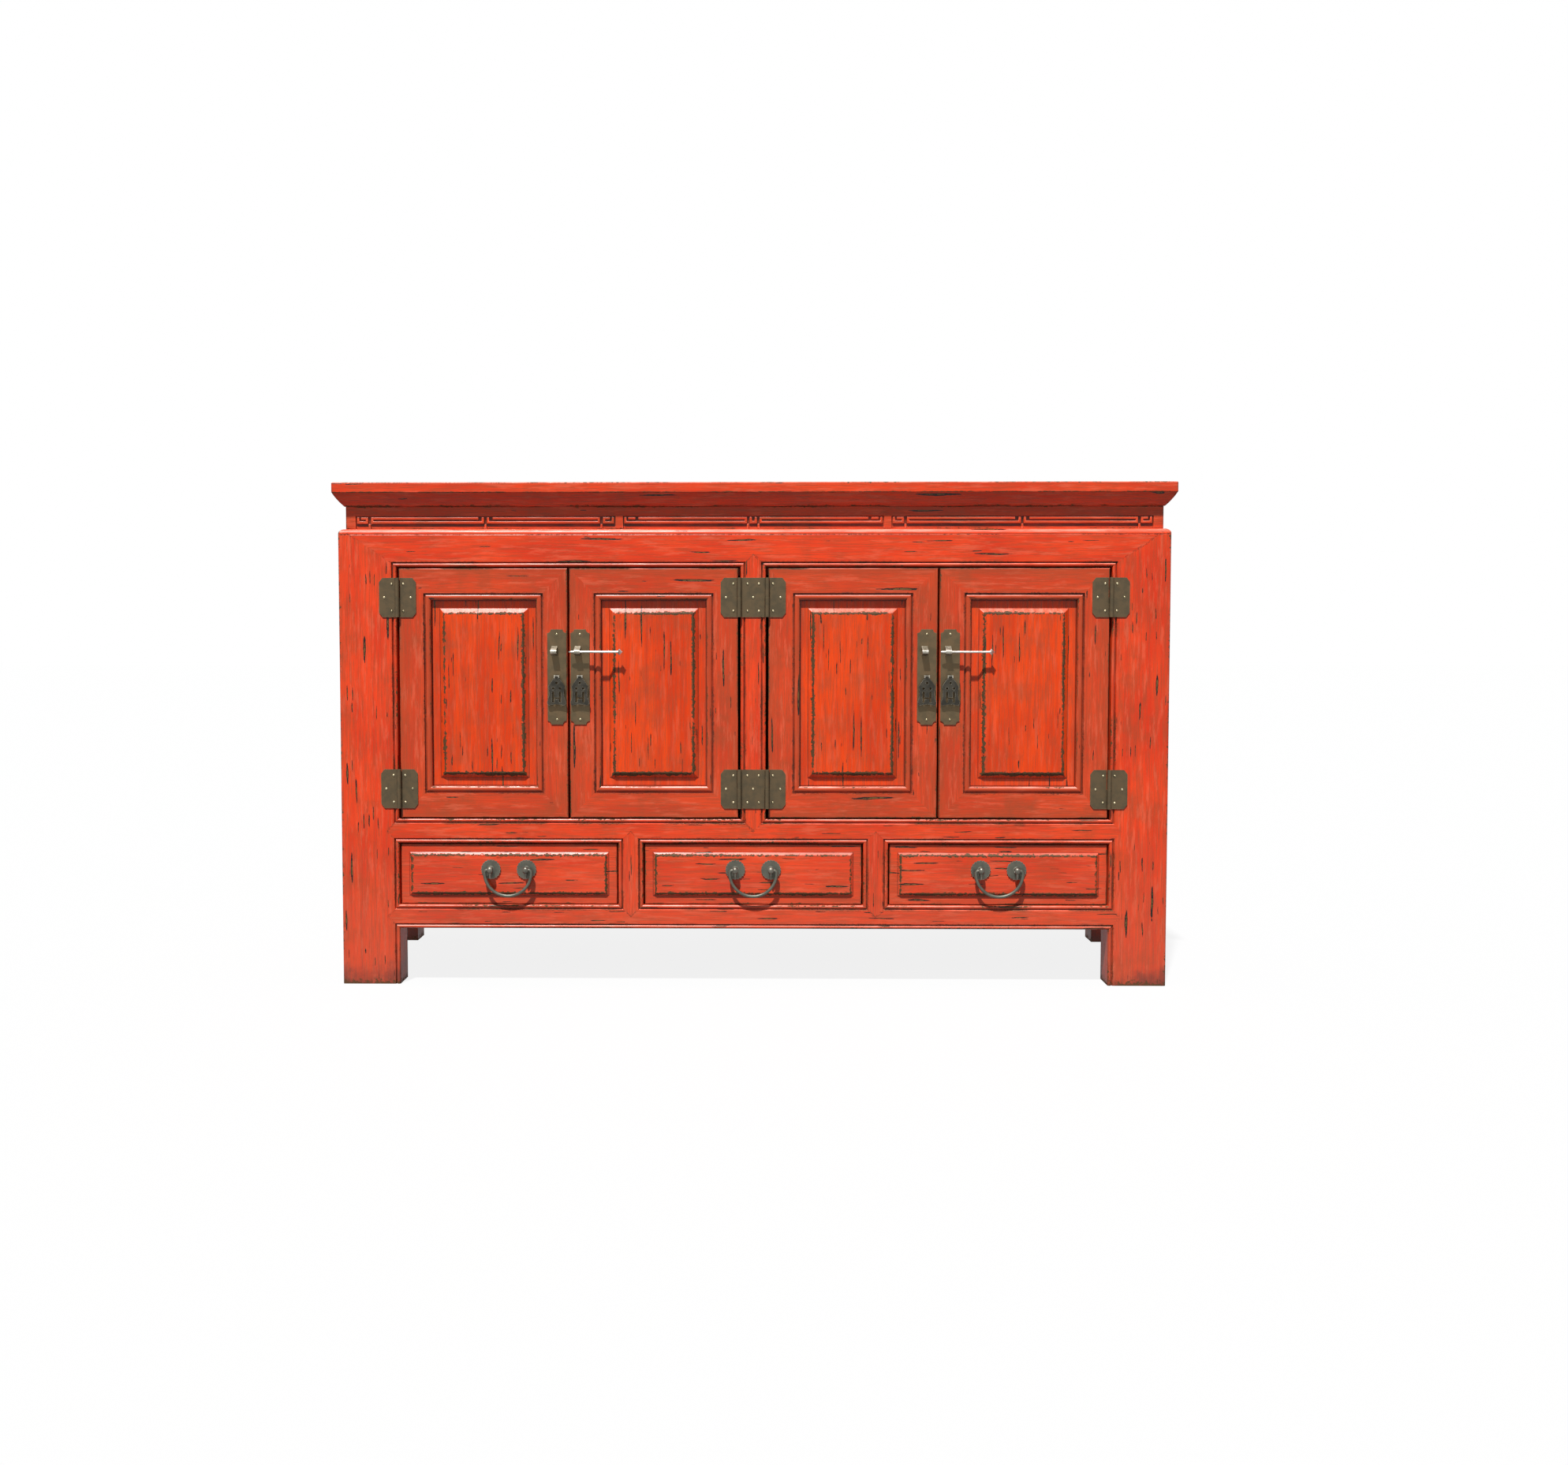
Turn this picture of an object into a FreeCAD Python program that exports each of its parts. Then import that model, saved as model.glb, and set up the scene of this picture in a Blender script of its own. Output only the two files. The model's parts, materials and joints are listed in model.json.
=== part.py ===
import FreeCAD
import Part
import math
import os
from FreeCAD import Vector

# A lacquered sideboard with four panelled doors over three drawers, in millimetres.
# X runs along the front, the front faces -Y, and Z is up from the floor.

# Heights, from the floor up
floor_gap = 103.0
apron_height = 43.5
drawer_opening_height = 113.5
mid_rail_height = 44.5
door_opening_height = 458.0
top_rail_height = 68.5
waist_height = 41.0
top_thickness = 42.0

# Widths along the front
leg_face = 105.5
door_width = 305.5
door_side_gap = 4.5
door_meeting_gap = 3.5
centre_stile_width = 46.0
divider_width = 45.5

# Depths of the carcass
body_depth = 439.0
leg_depth = 55.0
back_leg_face = 46.0
front_rail_depth = 34.0
back_rail_depth = 28.0
side_rail_thickness = 30.0
leg_edge_round = 4.0

# The moulded top and the waist under it
top_overhang = 8.0
top_rail_width = 92.0
top_edge_round = 2.5
top_lip = 18.0
top_slope_run = 18.0
top_slope_bulge = 1.2
top_panel_thickness = 16.0
top_tongue_depth = 12.0
top_tongue_thickness = 6.0
top_tongue_drop = 5.0
batten_width = 50.0
batten_height = 20.0
batten_spacing = 480.0
waist_recess = 12.0
waist_thickness = 22.0

# Bead and groove along every opening of the front
bead_width = 6.5
bead_depth = 2.6
groove_width = 2.5
shoulder_round = 9.5
shoulder_end_round = 11.5
shoulder_quirk_width = 2.0
shoulder_quirk_depth = 0.5
cut_margin = 1.0

# Mortise and tenon joints
tenon_thickness = 10.0
tenon_length = 30.0
tenon_shoulder = 9.0
point_depth = 11.0
mitre_land = 6.0

# Thin boards of the carcass
side_panel_thickness = 12.0
side_panel_inset = 10.0
back_panel_thickness = 9.0
back_panel_inset = 8.0
panel_tongue = 8.0
panel_play = 0.5
deck_thickness = 14.0
deck_tongue = 6.0
bearer_thickness = 22.0

# Drawer runners, guides and kickers
runner_height = 25.0
runner_ledge = 26.0
runner_bearing = 20.0
guide_height = 42.0
kicker_play = 3.0
stop_width = 14.0
stop_height = 16.0
stop_play = 0.3

# Doors
door_top_gap = 3.0
door_bottom_gap = 2.5
door_thickness = 24.0
door_edge_round = 1.2
door_flat = 44.5
door_moulding = 12.5
moulding_quirk_width = 2.2
moulding_quirk_depth = 3.0
moulding_crest = 0.6
door_groove_depth = 8.0
panel_recess = 9.0
panel_slab = 8.0
panel_margin = 15.0
field_bevel = 9.0
field_drop = 2.0
door_tenon_inset = 10.0
door_tenon_width = 28.0
door_tenon_length = 36.0
door_tenon_thickness = 5.0
door_tenon_drop = 18.0

# Hinges
hinge_height = 71.0
hinge_inset = 52.5
leaf_width = 33.5
leaf_thickness = 1.6
leaf_corner_x = 6.2
leaf_corner_z = 8.0
barrel_diameter = 8.3
barrel_play = 0.4
knuckle_gap = 0.3
hinge_pin_diameter = 4.0
hinge_pin_play = 0.05
hinge_axis_out = 4.3

# Round-headed nails
nail_head = 4.7
nail_dome = 1.5
nail_shank = 2.0
nail_length = 13.0
leaf_nail_inner = 10.5
leaf_nail_outer = 24.0
leaf_nail_end = 11.0

# Lock plates, pin loops and locking pins
plate_width = 34.6
plate_height = 172.6
plate_thickness = 1.6
plate_corner = 6.6
plate_edge_gap = 2.0
plate_top_drop = 110.0
plate_nail_inset = 9.0
pin_drop = 40.8
pin_diameter = 4.2
pin_length = 91.0
pin_out = 12.0
pin_tip_clearance = 0.8
knob_reach = 5.8
knob_depth = 4.6
loop_width = 10.8
loop_thickness = 1.6
loop_play = 0.3
loop_top = 10.6
loop_bottom = 7.2
loop_bend_top = 70.0
loop_bend_bottom = -78.0
loop_inset_left = 23.5
loop_inset_right = 15.2

# Pendant pulls and their staples
pendant_drop = 85.5
pendant_out = 4.6
pendant_eye_diameter = 6.6
pendant_eye_width = 6.0
pendant_thickness = 2.6
pendant_pin_diameter = 3.0
pendant_pin_play = 0.05
pendant_shoulder_width = 31.0
pendant_shoulder_drop = 18.0
pendant_neck_width = 27.6
pendant_neck_drop = 33.0
pendant_foot_width = 33.6
pendant_foot_drop = 45.0
pendant_corner_width = 32.8
pendant_corner_drop = 49.6
pendant_base_width = 27.0
pendant_base_rise = 2.4
pendant_height = 52.5
pendant_hole = 4.6
pendant_top_hole_drop = 11.5
pendant_eyes_drop = 21.5
pendant_eyes_spacing = 12.4
pendant_slot_width = 4.2
pendant_slot_top = 29.0
pendant_slot_bottom = 45.0
pendant_bridge_drop = 37.5
pendant_bridge_height = 3.0
staple_cheek = 1.5
staple_height = 5.0
staple_play = 0.4

# Drawers
drawer_side_gap = 2.8
drawer_top_gap = 2.0
drawer_bottom_gap = 1.5
drawer_front_thickness = 22.0
drawer_margin = 15.0
drawer_bevel = 5.0
drawer_field_rise = 4.5
drawer_depth = 372.0
drawer_side_thickness = 13.0
drawer_side_height = 98.0
drawer_box_gap = 1.2
drawer_floor_thickness = 8.0
drawer_floor_rise = 10.0
drawer_floor_tongue = 6.0
runner_play = 0.3

# Bail pulls
pull_spacing = 65.0
pull_rise = 9.0
rosette_diameter = 36.0
rosette_thickness = 2.2
rosette_dome = 1.8
rosette_boss = 14.0
rosette_lobes = 20
rosette_lobe_diameter = 5.2
bail_wire = 5.9
bail_out = 10.5
bail_bend = 5.0
bail_pin_inside = 8.0
bail_play = 0.05
bail_end_gap = 0.2
eye_diameter = 13.4
eye_width = 9.6
drop_width = 7.6
drop_length = 15.0
drop_tip = 3.4
post_diameter = 7.0
post_shank = 5.0

# Carved key fret on the waist
fret_length = 468.0
fret_gap = 18.0
fret_height = 22.4
fret_rise = 1.0
fret_margin = 1.8
fret_relief = 3.0
fret_line = 4.6
fret_low_row = 11.2
fret_high_row = 18.5
fret_hook = 18.4
fret_return = 9.6
fret_pause = 9.6
fret_open = 4.6
fret_stop = 15.0
fret_close = 13.4
fret_post = 6.5
fret_post_width = 4.0

# Places that follow from the sizes above
clear_width = 2 * door_width + 2 * door_side_gap + door_meeting_gap
body_width = 2 * leg_face + 2 * clear_width + centre_stile_width
half_width = body_width / 2
inner_half = half_width - leg_face
apron_top = floor_gap + apron_height
mid_rail_bottom = apron_top + drawer_opening_height
mid_rail_top = mid_rail_bottom + mid_rail_height
door_opening_top = mid_rail_top + door_opening_height
body_height = door_opening_top + top_rail_height
waist_top = body_height + waist_height
full_height = waist_top + top_thickness
front_reach = plate_thickness + pin_out + knob_depth
face = (front_reach - body_depth - top_overhang) / 2
back = face + body_depth
drawer_opening_width = (2 * inner_half - 2 * divider_width) / 3
door_bottom = mid_rail_top + door_bottom_gap
door_top = door_opening_top - door_top_gap
plate_face = face - plate_thickness
plate_top = door_top - plate_top_drop
pin_axis_z = plate_top - pin_drop
pin_axis_y = plate_face - pin_out
pendant_axis_z = plate_top - pendant_drop
pendant_axis_y = plate_face - pendant_out
hinge_axis_y = face - hinge_axis_out
bail_axis_y = face - bail_out

ALONG = Vector(1, 0, 0)
DEEP = Vector(0, 1, 0)
UP = Vector(0, 0, 1)


def block(x0, x1, y0, y1, z0, z1):
    """A board between two opposite corners."""
    return Part.makeBox(x1 - x0, y1 - y0, z1 - z0, Vector(x0, y0, z0))


def rod(radius, start, end):
    """A round bar between two points."""
    run = end - start
    return Part.makeCylinder(radius, run.Length, start, run)


def joined(pieces):
    """One solid from several that overlap or touch."""
    return pieces[0].multiFuse(pieces[1:]).removeSplitter()


def trimmed(shape, tools):
    """What is left of a piece once every tool that reaches it has cut it."""
    for tool in tools:
        if shape.BoundBox.intersect(tool.BoundBox):
            shape = shape.cut(tool)
    return shape


def outline(at, path):
    """A closed wire; a point marked as the middle of an arc bends the line through it."""
    edges = []
    place = 0
    while place < len(path):
        start = at(*path[place][:2])
        after = path[(place + 1) % len(path)]
        if len(after) == 3:
            end = at(*path[(place + 2) % len(path)][:2])
            edges.append(Part.Arc(start, at(*after[:2]), end).toShape())
            place += 2
        else:
            edges.append(Part.LineSegment(start, at(*after[:2])).toShape())
            place += 1
    return Part.Wire(edges)


def plate_xz(path, y0, y1):
    """A flat plate whose outline lies in the XZ plane."""
    wire = outline(lambda x, z: Vector(x, y0, z), path)
    return Part.Face(wire).extrude(Vector(0, y1 - y0, 0))


def mitred_sides(x0, x1, z0, z1, front, deepest, near, far, sign, path):
    """Four mouldings around an upright rectangle, mitred at its corners.

    The path gives the section: distance from the rectangle's edge, outwards where sign is 1
    and inwards where it is -1, and depth behind the front.
    """
    ends = {
        "bottom": (Vector(x0, front, z0), Vector(x1, front, z0), Vector(0, 0, -1)),
        "top": (Vector(x0, front, z1), Vector(x1, front, z1), Vector(0, 0, 1)),
        "left": (Vector(x0, front, z0), Vector(x0, front, z1), Vector(-1, 0, 0)),
        "right": (Vector(x1, front, z0), Vector(x1, front, z1), Vector(1, 0, 0)),
    }
    sides = {}
    for name, (start, end, outward) in ends.items():
        along = (end - start).normalize()
        run = far + cut_margin
        tail = start - along * run

        def at(across, depth):
            return tail + outward * (sign * across) + DEEP * depth

        bar = Part.Face(outline(at, path)).extrude(along * ((end - start).Length + 2 * run))
        low = DEEP * -cut_margin
        inner = (outward + along) * (sign * near)
        inner_start = (outward - along) * (sign * near)
        outer = (outward + along) * (sign * far)
        outer_start = (outward - along) * (sign * far)
        corners = [start + inner_start, end + inner, end + outer, start + outer_start]
        corners = [corner + low for corner in corners]
        wedge = Part.Face(Part.makePolygon(corners + corners[:1]))
        wedge = wedge.extrude(DEEP * (deepest + 2 * cut_margin))
        sides[name] = bar.common(wedge).Solids[0]
    return sides


def laid_flat(shape, height):
    """Turns an upright frame's front to face up, at the given height."""
    flat = shape.copy()
    flat.rotate(Vector(0, 0, 0), ALONG, -90)
    flat.translate(Vector(0, 0, height))
    return flat


def bead_section():
    """What is cut away beside an opening: a groove, and the shoulders of a round bead."""
    edge = bead_width + groove_width
    return [
        (-cut_margin, -cut_margin), (edge, -cut_margin), (edge, 0),
        (bead_width + groove_width / 2, bead_depth), (bead_width, bead_depth),
        (bead_width / 2, 0, "arc"), (0, bead_depth), (-cut_margin, bead_depth),
    ]


def bead_cutters():
    """Bead cutters around the doors, the drawers and the space under the apron."""
    reach = bead_width + groove_width
    spaces = []
    for x0 in (-inner_half, centre_stile_width / 2):
        spaces.append((x0, x0 + clear_width, mid_rail_top, door_opening_top))
    for x0 in drawer_lefts():
        spaces.append((x0, x0 + drawer_opening_width, apron_top, mid_rail_bottom))
    spaces.append((-inner_half, inner_half, -floor_gap, floor_gap))
    cutters = []
    for x0, x1, z0, z1 in spaces:
        ring = mitred_sides(x0, x1, z0, z1, face, bead_depth, -cut_margin, reach, 1, bead_section())
        cutters.extend(ring.values())
    return cutters


def shoulder_section(reach):
    """What is cut away along the upper edge of the body: a round, and a shallow quirk below it."""
    ease = reach * (1 - math.sqrt(0.5))
    low = reach + shoulder_quirk_width
    return [
        (-cut_margin, -cut_margin), (low, -cut_margin), (low, 0),
        (reach + shoulder_quirk_width / 2, shoulder_quirk_depth), (reach, 0),
        (ease, ease, "arc"), (0, reach), (-cut_margin, reach),
    ]


def shoulder_cutters():
    """Cutters that round the upper edge of the body, more so at its ends."""
    run = body_width + body_depth
    sides = [
        (Vector(-run / 2, face, body_height), ALONG, DEEP, shoulder_round),
        (Vector(-run / 2, back, body_height), ALONG, DEEP * -1, shoulder_round),
        (Vector(-half_width, -run / 2, body_height), DEEP, ALONG, shoulder_end_round),
        (Vector(half_width, -run / 2, body_height), DEEP, ALONG * -1, shoulder_end_round),
    ]
    cutters = []
    for start, along, inward, reach in sides:

        def at(across, depth):
            return start - UP * across + inward * depth

        cutters.append(Part.Face(outline(at, shoulder_section(reach))).extrude(along * run))
    return cutters


def drawer_lefts():
    """Left edge of each drawer opening."""
    pitch = drawer_opening_width + divider_width
    return [-inner_half + number * pitch for number in range(3)]


def pointed_rail(x0, x1, z0, z1):
    """A front rail with tenons, whose face runs to a mitred point at each end."""
    middle = (z0 + z1) / 2
    point = (z1 - z0) / 2
    bar = block(x0, x1, face, face + front_rail_depth, z0, z1)
    tip = [(x0, z0), (x0 - point, middle), (x0, z1), (x1, z1), (x1 + point, middle), (x1, z0)]
    ends = plate_xz(tip, face, face + point_depth)
    y0 = face + point_depth + (front_rail_depth - point_depth - tenon_thickness) / 2
    tenon = block(x0 - tenon_length, x1 + tenon_length, y0, y0 + tenon_thickness,
                  z0 + tenon_shoulder, z1 - tenon_shoulder)
    return joined([bar, ends, tenon])


def pointed_stile(x0, x1, z0, z1):
    """A front upright with tenons, whose face runs to a mitred point at each end."""
    middle = (x0 + x1) / 2
    point = (x1 - x0) / 2
    bar = block(x0, x1, face, face + front_rail_depth, z0, z1)
    tip = [(x0, z0), (middle, z0 - point), (x1, z0), (x1, z1), (middle, z1 + point), (x0, z1)]
    ends = plate_xz(tip, face, face + point_depth)
    y0 = face + point_depth + (front_rail_depth - point_depth - tenon_thickness) / 2
    tenon = block(x0 + tenon_shoulder, x1 - tenon_shoulder, y0, y0 + tenon_thickness,
                  z0 - point, z1 + point)
    return joined([bar, ends, tenon])


def top_front_rail():
    """The rail over the doors, mitred into the legs from corner to corner."""
    path = [(-inner_half, door_opening_top), (-half_width + mitre_land, body_height),
            (half_width - mitre_land, body_height), (inner_half, door_opening_top)]
    bar = plate_xz(path, face, face + front_rail_depth)
    y0 = face + (front_rail_depth - tenon_thickness) / 2
    tenon = block(-inner_half - tenon_length, inner_half + tenon_length, y0, y0 + tenon_thickness,
                  door_opening_top + tenon_shoulder, door_opening_top + tenon_shoulder + tenon_length)
    return joined([bar, tenon])


def side_rail(side, z0, z1):
    """A rail between a front and a back leg, with a tenon at each end."""
    outer = side * half_width
    inner = side * (half_width - side_rail_thickness)
    x0, x1 = sorted((outer, inner))
    y0 = face + leg_depth
    y1 = back - leg_depth
    middle = (x0 + x1) / 2
    bar = block(x0, x1, y0, y1, z0, z1)
    tenon = block(middle - tenon_thickness / 2, middle + tenon_thickness / 2,
                  y0 - tenon_length / 2, y1 + tenon_length / 2, z0 + tenon_shoulder, z1 - tenon_shoulder)
    return joined([bar, tenon])


def back_panel_front():
    """Where the inner face of the back board lies."""
    return back - back_panel_inset - back_panel_thickness


def back_rail(y0, y1, z0, z1):
    """A rail between the back legs, with a tenon at each end."""
    x1 = half_width - back_leg_face
    middle = (y0 + y1) / 2
    bar = block(-x1, x1, y0, y1, z0, z1)
    tenon = block(-x1 - tenon_length, x1 + tenon_length, middle - tenon_thickness / 2,
                  middle + tenon_thickness / 2, z0 + tenon_shoulder, z1 - tenon_shoulder)
    return joined([bar, tenon])


def deck_bearer():
    """The rail inside the back board that carries the cupboard's floor."""
    y1 = back_panel_front()
    z1 = mid_rail_top - deck_thickness
    return back_rail(y1 - bearer_thickness, y1, z1 - mid_rail_height, z1)


def leg(side, front):
    """A corner post with its outer edge eased."""
    width = leg_face if front else back_leg_face
    x0, x1 = sorted((side * half_width, side * (half_width - width)))
    y0 = face if front else back - leg_depth
    post = block(x0, x1, y0, y0 + leg_depth, 0, body_height)
    edge_y = face if front else back

    def outer(edge):
        middle = edge.CenterOfMass
        at_side = abs(middle.x - side * half_width) < cut_margin
        at_face = abs(middle.y - edge_y) < cut_margin
        upright = abs(middle.z - body_height / 2) < cut_margin
        return upright and at_side and at_face

    return post.makeFillet(leg_edge_round, [edge for edge in post.Edges if outer(edge)])


def side_panel(side, play):
    """A thin board held in grooves of the legs and side rails."""
    reach = panel_tongue - play
    x0, x1 = sorted((side * (half_width - side_panel_inset),
                     side * (half_width - side_panel_inset - side_panel_thickness)))
    return block(x0, x1, face + leg_depth - reach, back - leg_depth + reach,
                 apron_top - reach, door_opening_top + reach)


def back_panel(play):
    """The back board, held in grooves of the back legs and rails."""
    reach = panel_tongue - play
    x1 = half_width - back_leg_face + reach
    y1 = back - back_panel_inset
    return block(-x1, x1, y1 - back_panel_thickness, y1, apron_top - reach, door_opening_top + reach)


def deck():
    """The floor of the door cupboard, over the drawers."""
    x1 = half_width - side_panel_inset - side_panel_thickness - panel_play
    y0 = face + front_rail_depth
    y1 = back_panel_front() - panel_play
    z0 = mid_rail_top - deck_thickness
    tongue_x = inner_half
    tongue_z = z0 + (deck_thickness - deck_tongue) / 2
    board = block(-x1, x1, y0, y1, z0, mid_rail_top)
    tongue = block(-tongue_x, tongue_x, y0 - deck_tongue, y0, tongue_z, tongue_z + deck_tongue)
    corners = []
    for side in (-1, 1):
        for width, low, high in ((leg_face, y0, face + leg_depth), (back_leg_face, back - leg_depth, y1)):
            a, b = sorted((side * (half_width - width), side * half_width))
            corners.append(block(a, b, low, high, z0, mid_rail_top))
    return joined([board.cut(corners), tongue])


def carcass():
    """Legs, rails, uprights and boards of the body, fitted to each other."""
    beads = bead_cutters()
    shoulders = shoulder_cutters()
    rails = {
        "rail_front_top": top_front_rail(),
        "rail_front_middle": pointed_rail(-inner_half, inner_half, mid_rail_bottom, mid_rail_top),
        "rail_front_apron": pointed_rail(-inner_half, inner_half, floor_gap, apron_top),
    }
    stile_half = centre_stile_width / 2
    stiles = [pointed_stile(-stile_half, stile_half, mid_rail_top, door_opening_top)]
    for x0 in drawer_lefts()[1:]:
        stiles.append(pointed_stile(x0 - divider_width, x0, apron_top, mid_rail_bottom))
    side_rails = []
    for side in (-1, 1):
        side_rails.append(side_rail(side, floor_gap, apron_top))
        side_rails.append(side_rail(side, door_opening_top, body_height))
    outer_y = back - back_rail_depth
    back_rails = [back_rail(outer_y, back, floor_gap, apron_top),
                  back_rail(outer_y, back, door_opening_top, body_height)]
    bearer = deck_bearer()
    tight_side = [side_panel(side, 0) for side in (-1, 1)]
    tight_back = back_panel(0)
    floor = deck()
    nodes = {}
    back_legs = []
    for side, name in ((-1, "left"), (1, "right")):
        fitted = list(rails.values()) + side_rails + tight_side
        nodes["leg_front_" + name] = trimmed(leg(side, True), fitted + beads + shoulders)
        fitted = back_rails + side_rails + tight_side + [tight_back, bearer]
        back_legs.append(trimmed(leg(side, False), fitted + shoulders))
    nodes["legs_back"] = Part.makeCompound(back_legs)
    for name, rail in rails.items():
        nodes[name] = trimmed(rail, stiles + [floor] + beads + shoulders)
    stiles = [trimmed(stile, [floor] + beads) for stile in stiles]
    nodes["front_stiles"] = Part.makeCompound(stiles)
    nodes["side_rails"] = Part.makeCompound([trimmed(rail, tight_side + shoulders) for rail in side_rails])
    nodes["side_panels"] = Part.makeCompound([side_panel(side, panel_play) for side in (-1, 1)])
    back_rails = [trimmed(rail, [tight_back] + shoulders) for rail in back_rails]
    nodes["back_rails"] = Part.makeCompound(back_rails + [bearer])
    nodes["back_panel"] = back_panel(panel_play)
    nodes["cupboard_floor"] = floor
    return nodes


def drawer_tracks():
    """Runners under the drawers, guides between them, and kickers over their sides."""
    y0 = face + front_rail_depth
    y1 = back - back_rail_depth
    kicker_bottom = apron_top + runner_play + drawer_side_height + kicker_play
    kicker_top = mid_rail_top - deck_thickness
    bearer_front = back_panel_front() - bearer_thickness
    lefts = drawer_lefts()
    spans = [(lefts[0] - runner_bearing, lefts[0], 0, 1)]
    for x0 in lefts[1:]:
        spans.append((x0 - divider_width, x0, 1, 1))
    spans.append((inner_half, inner_half + runner_bearing, 1, 0))
    runners = []
    guides = []
    for x0, x1, left_ledge, right_ledge in spans:
        wide0 = x0 - left_ledge * runner_ledge
        wide1 = x1 + right_ledge * runner_ledge
        runners.append(block(wide0, wide1, y0, y1, apron_top - runner_height, apron_top))
        guides.append(block(x0, x1, y0, y1, apron_top, apron_top + guide_height))
        guides.append(block(wide0, wide1, y0, bearer_front, kicker_bottom, kicker_top))
    corners = [leg(side, front) for side in (-1, 1) for front in (True, False)]
    runners = [runner.cut(corners).Solids[0] for runner in runners]
    guides = [guide.cut(corners).Solids[0] for guide in guides]
    return {"drawer_runners": Part.makeCompound(runners + guides)}


def door_stops():
    """Strips under the top rail that the closed doors meet."""
    y0 = face + door_thickness + stop_play
    strips = []
    for x0 in (-inner_half, centre_stile_width / 2):
        strips.append(block(x0, x0 + clear_width, y0, y0 + stop_width,
                            door_opening_top - stop_height, door_opening_top))
    return {"door_stops": Part.makeCompound(strips)}


def top_section():
    """Section of the top's frame: eased edge, flat lip, then a full slope to the underside."""
    slope_drop = top_thickness - top_lip
    length = math.hypot(top_slope_run, slope_drop)
    bulge_u = top_slope_run / 2 - top_slope_bulge * slope_drop / length
    bulge_d = top_lip + slope_drop / 2 + top_slope_bulge * top_slope_run / length
    ease = top_edge_round * (1 - math.sqrt(0.5))
    tongue_low = top_tongue_drop + top_tongue_thickness
    tongue_in = top_rail_width - top_tongue_depth
    return [
        (0, top_edge_round), (ease, ease, "arc"), (top_edge_round, 0), (top_rail_width, 0),
        (top_rail_width, top_tongue_drop), (tongue_in, top_tongue_drop), (tongue_in, tongue_low),
        (top_rail_width, tongue_low), (top_rail_width, top_thickness), (top_slope_run, top_thickness),
        (bulge_u, bulge_d, "arc"), (0, top_lip),
    ]


def top():
    """The mitred top frame, its floating panel and the battens under it."""
    x1 = half_width + top_overhang
    y0 = face - top_overhang
    y1 = back + top_overhang
    frame = mitred_sides(-x1, x1, y0, y1, 0, top_thickness, 0, top_rail_width, -1, top_section())
    frame = {name: laid_flat(side, full_height) for name, side in frame.items()}
    inner_x = x1 - top_rail_width
    inner_y0 = y0 + top_rail_width
    inner_y1 = y1 - top_rail_width
    panel_bottom = full_height - top_panel_thickness
    reach = top_tongue_depth - panel_play
    tongue_top = full_height - top_tongue_drop
    slab = block(-inner_x, inner_x, inner_y0, inner_y1, panel_bottom, full_height)
    tongue = block(-inner_x - reach, inner_x + reach, inner_y0 - reach, inner_y1 + reach,
                   tongue_top - top_tongue_thickness, tongue_top)
    battens = []
    for number in (-1, 0, 1):
        middle = number * batten_spacing
        battens.append(block(middle - batten_width / 2, middle + batten_width / 2, inner_y0, inner_y1,
                             panel_bottom - batten_height, panel_bottom))
    return {
        "top_frame": Part.makeCompound(list(frame.values())),
        "top_panel": joined([slab, tongue]),
        "top_battens": Part.makeCompound(battens),
    }


def fret_lines(outer):
    """Half of one carved panel, as straight lines from its end to its middle.

    A side panel has its hooks at the ends; the middle panel has its hooks in the middle.
    """
    half = fret_length / 2
    low = fret_low_row
    high = fret_high_row
    first = fret_line / 2
    if outer:
        start = fret_hook + fret_pause
        post = fret_hook + fret_pause / 2
        return [
            (first, low, first, high), (first, low, fret_hook, low), (fret_hook, low, fret_hook, high),
            (fret_return, high, fret_hook, high), (post, 0, post, fret_post),
            (start, low, start, high), (start, high, half - fret_stop, high),
            (start, low, half - fret_open, low), (half - fret_open, low, half - fret_open, high),
            (half, 0, half, fret_post),
        ]
    return [
        (first, low, first, high), (first, low, half - fret_close, low),
        (fret_return, high, fret_hook, high), (fret_hook + fret_pause, high, half - fret_close, high),
        (half - fret_close, low, half - fret_close, high), (half - fret_open, low, half - fret_open, high),
        (half - fret_open, low, half, low), (half - fret_return, 0, half - fret_return, fret_post),
    ]


def waist():
    """The narrow frieze between body and top, with a key fret carved on its front."""
    x1 = half_width - waist_recess
    y0 = face + waist_recess
    y1 = back - waist_recess
    section = [(0, 0), (waist_thickness, 0), (waist_thickness, waist_height), (0, waist_height)]
    frame = mitred_sides(-x1, x1, y0, y1, 0, waist_height, 0, waist_thickness, -1, section)
    frame = {name: laid_flat(side, waist_top) for name, side in frame.items()}
    front = frame["bottom"]
    floor_y = y0 + fret_relief
    bottom = body_height + fret_rise
    sunk = []
    raised = []
    pitch = fret_length + fret_gap
    count = int((2 * x1 + fret_gap) // pitch)
    for number in range(count):
        middle = (number - (count - 1) / 2) * pitch
        reach = fret_length / 2 + fret_margin
        sunk.append(block(middle - reach, middle + reach, y0 - cut_margin, floor_y,
                          bottom, bottom + fret_height))
        for side in (-1, 1):
            end = middle + side * fret_length / 2
            for a0, b0, a1, b1 in fret_lines(middle != 0):
                xs = sorted((end - side * a0, end - side * a1))
                width = (fret_line if b0 > 0 else fret_post_width) / 2
                low = bottom + b0 - (width if b0 > 0 else 0)
                line = block(xs[0] - width, xs[1] + width, y0, floor_y, low, bottom + b1 + width)
                raised.append(line)
    carved = front.cut(sunk)
    carved = carved.multiFuse(raised).removeSplitter()
    return {
        "waist_front": carved,
        "waist_returns": Part.makeCompound([frame["top"], frame["left"], frame["right"]]),
    }


def door_lefts():
    """Left edge of each door."""
    lefts = []
    for x0 in (-inner_half, centre_stile_width / 2):
        lefts.append(x0 + door_side_gap)
        lefts.append(x0 + door_side_gap + door_width + door_meeting_gap)
    return lefts


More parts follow.
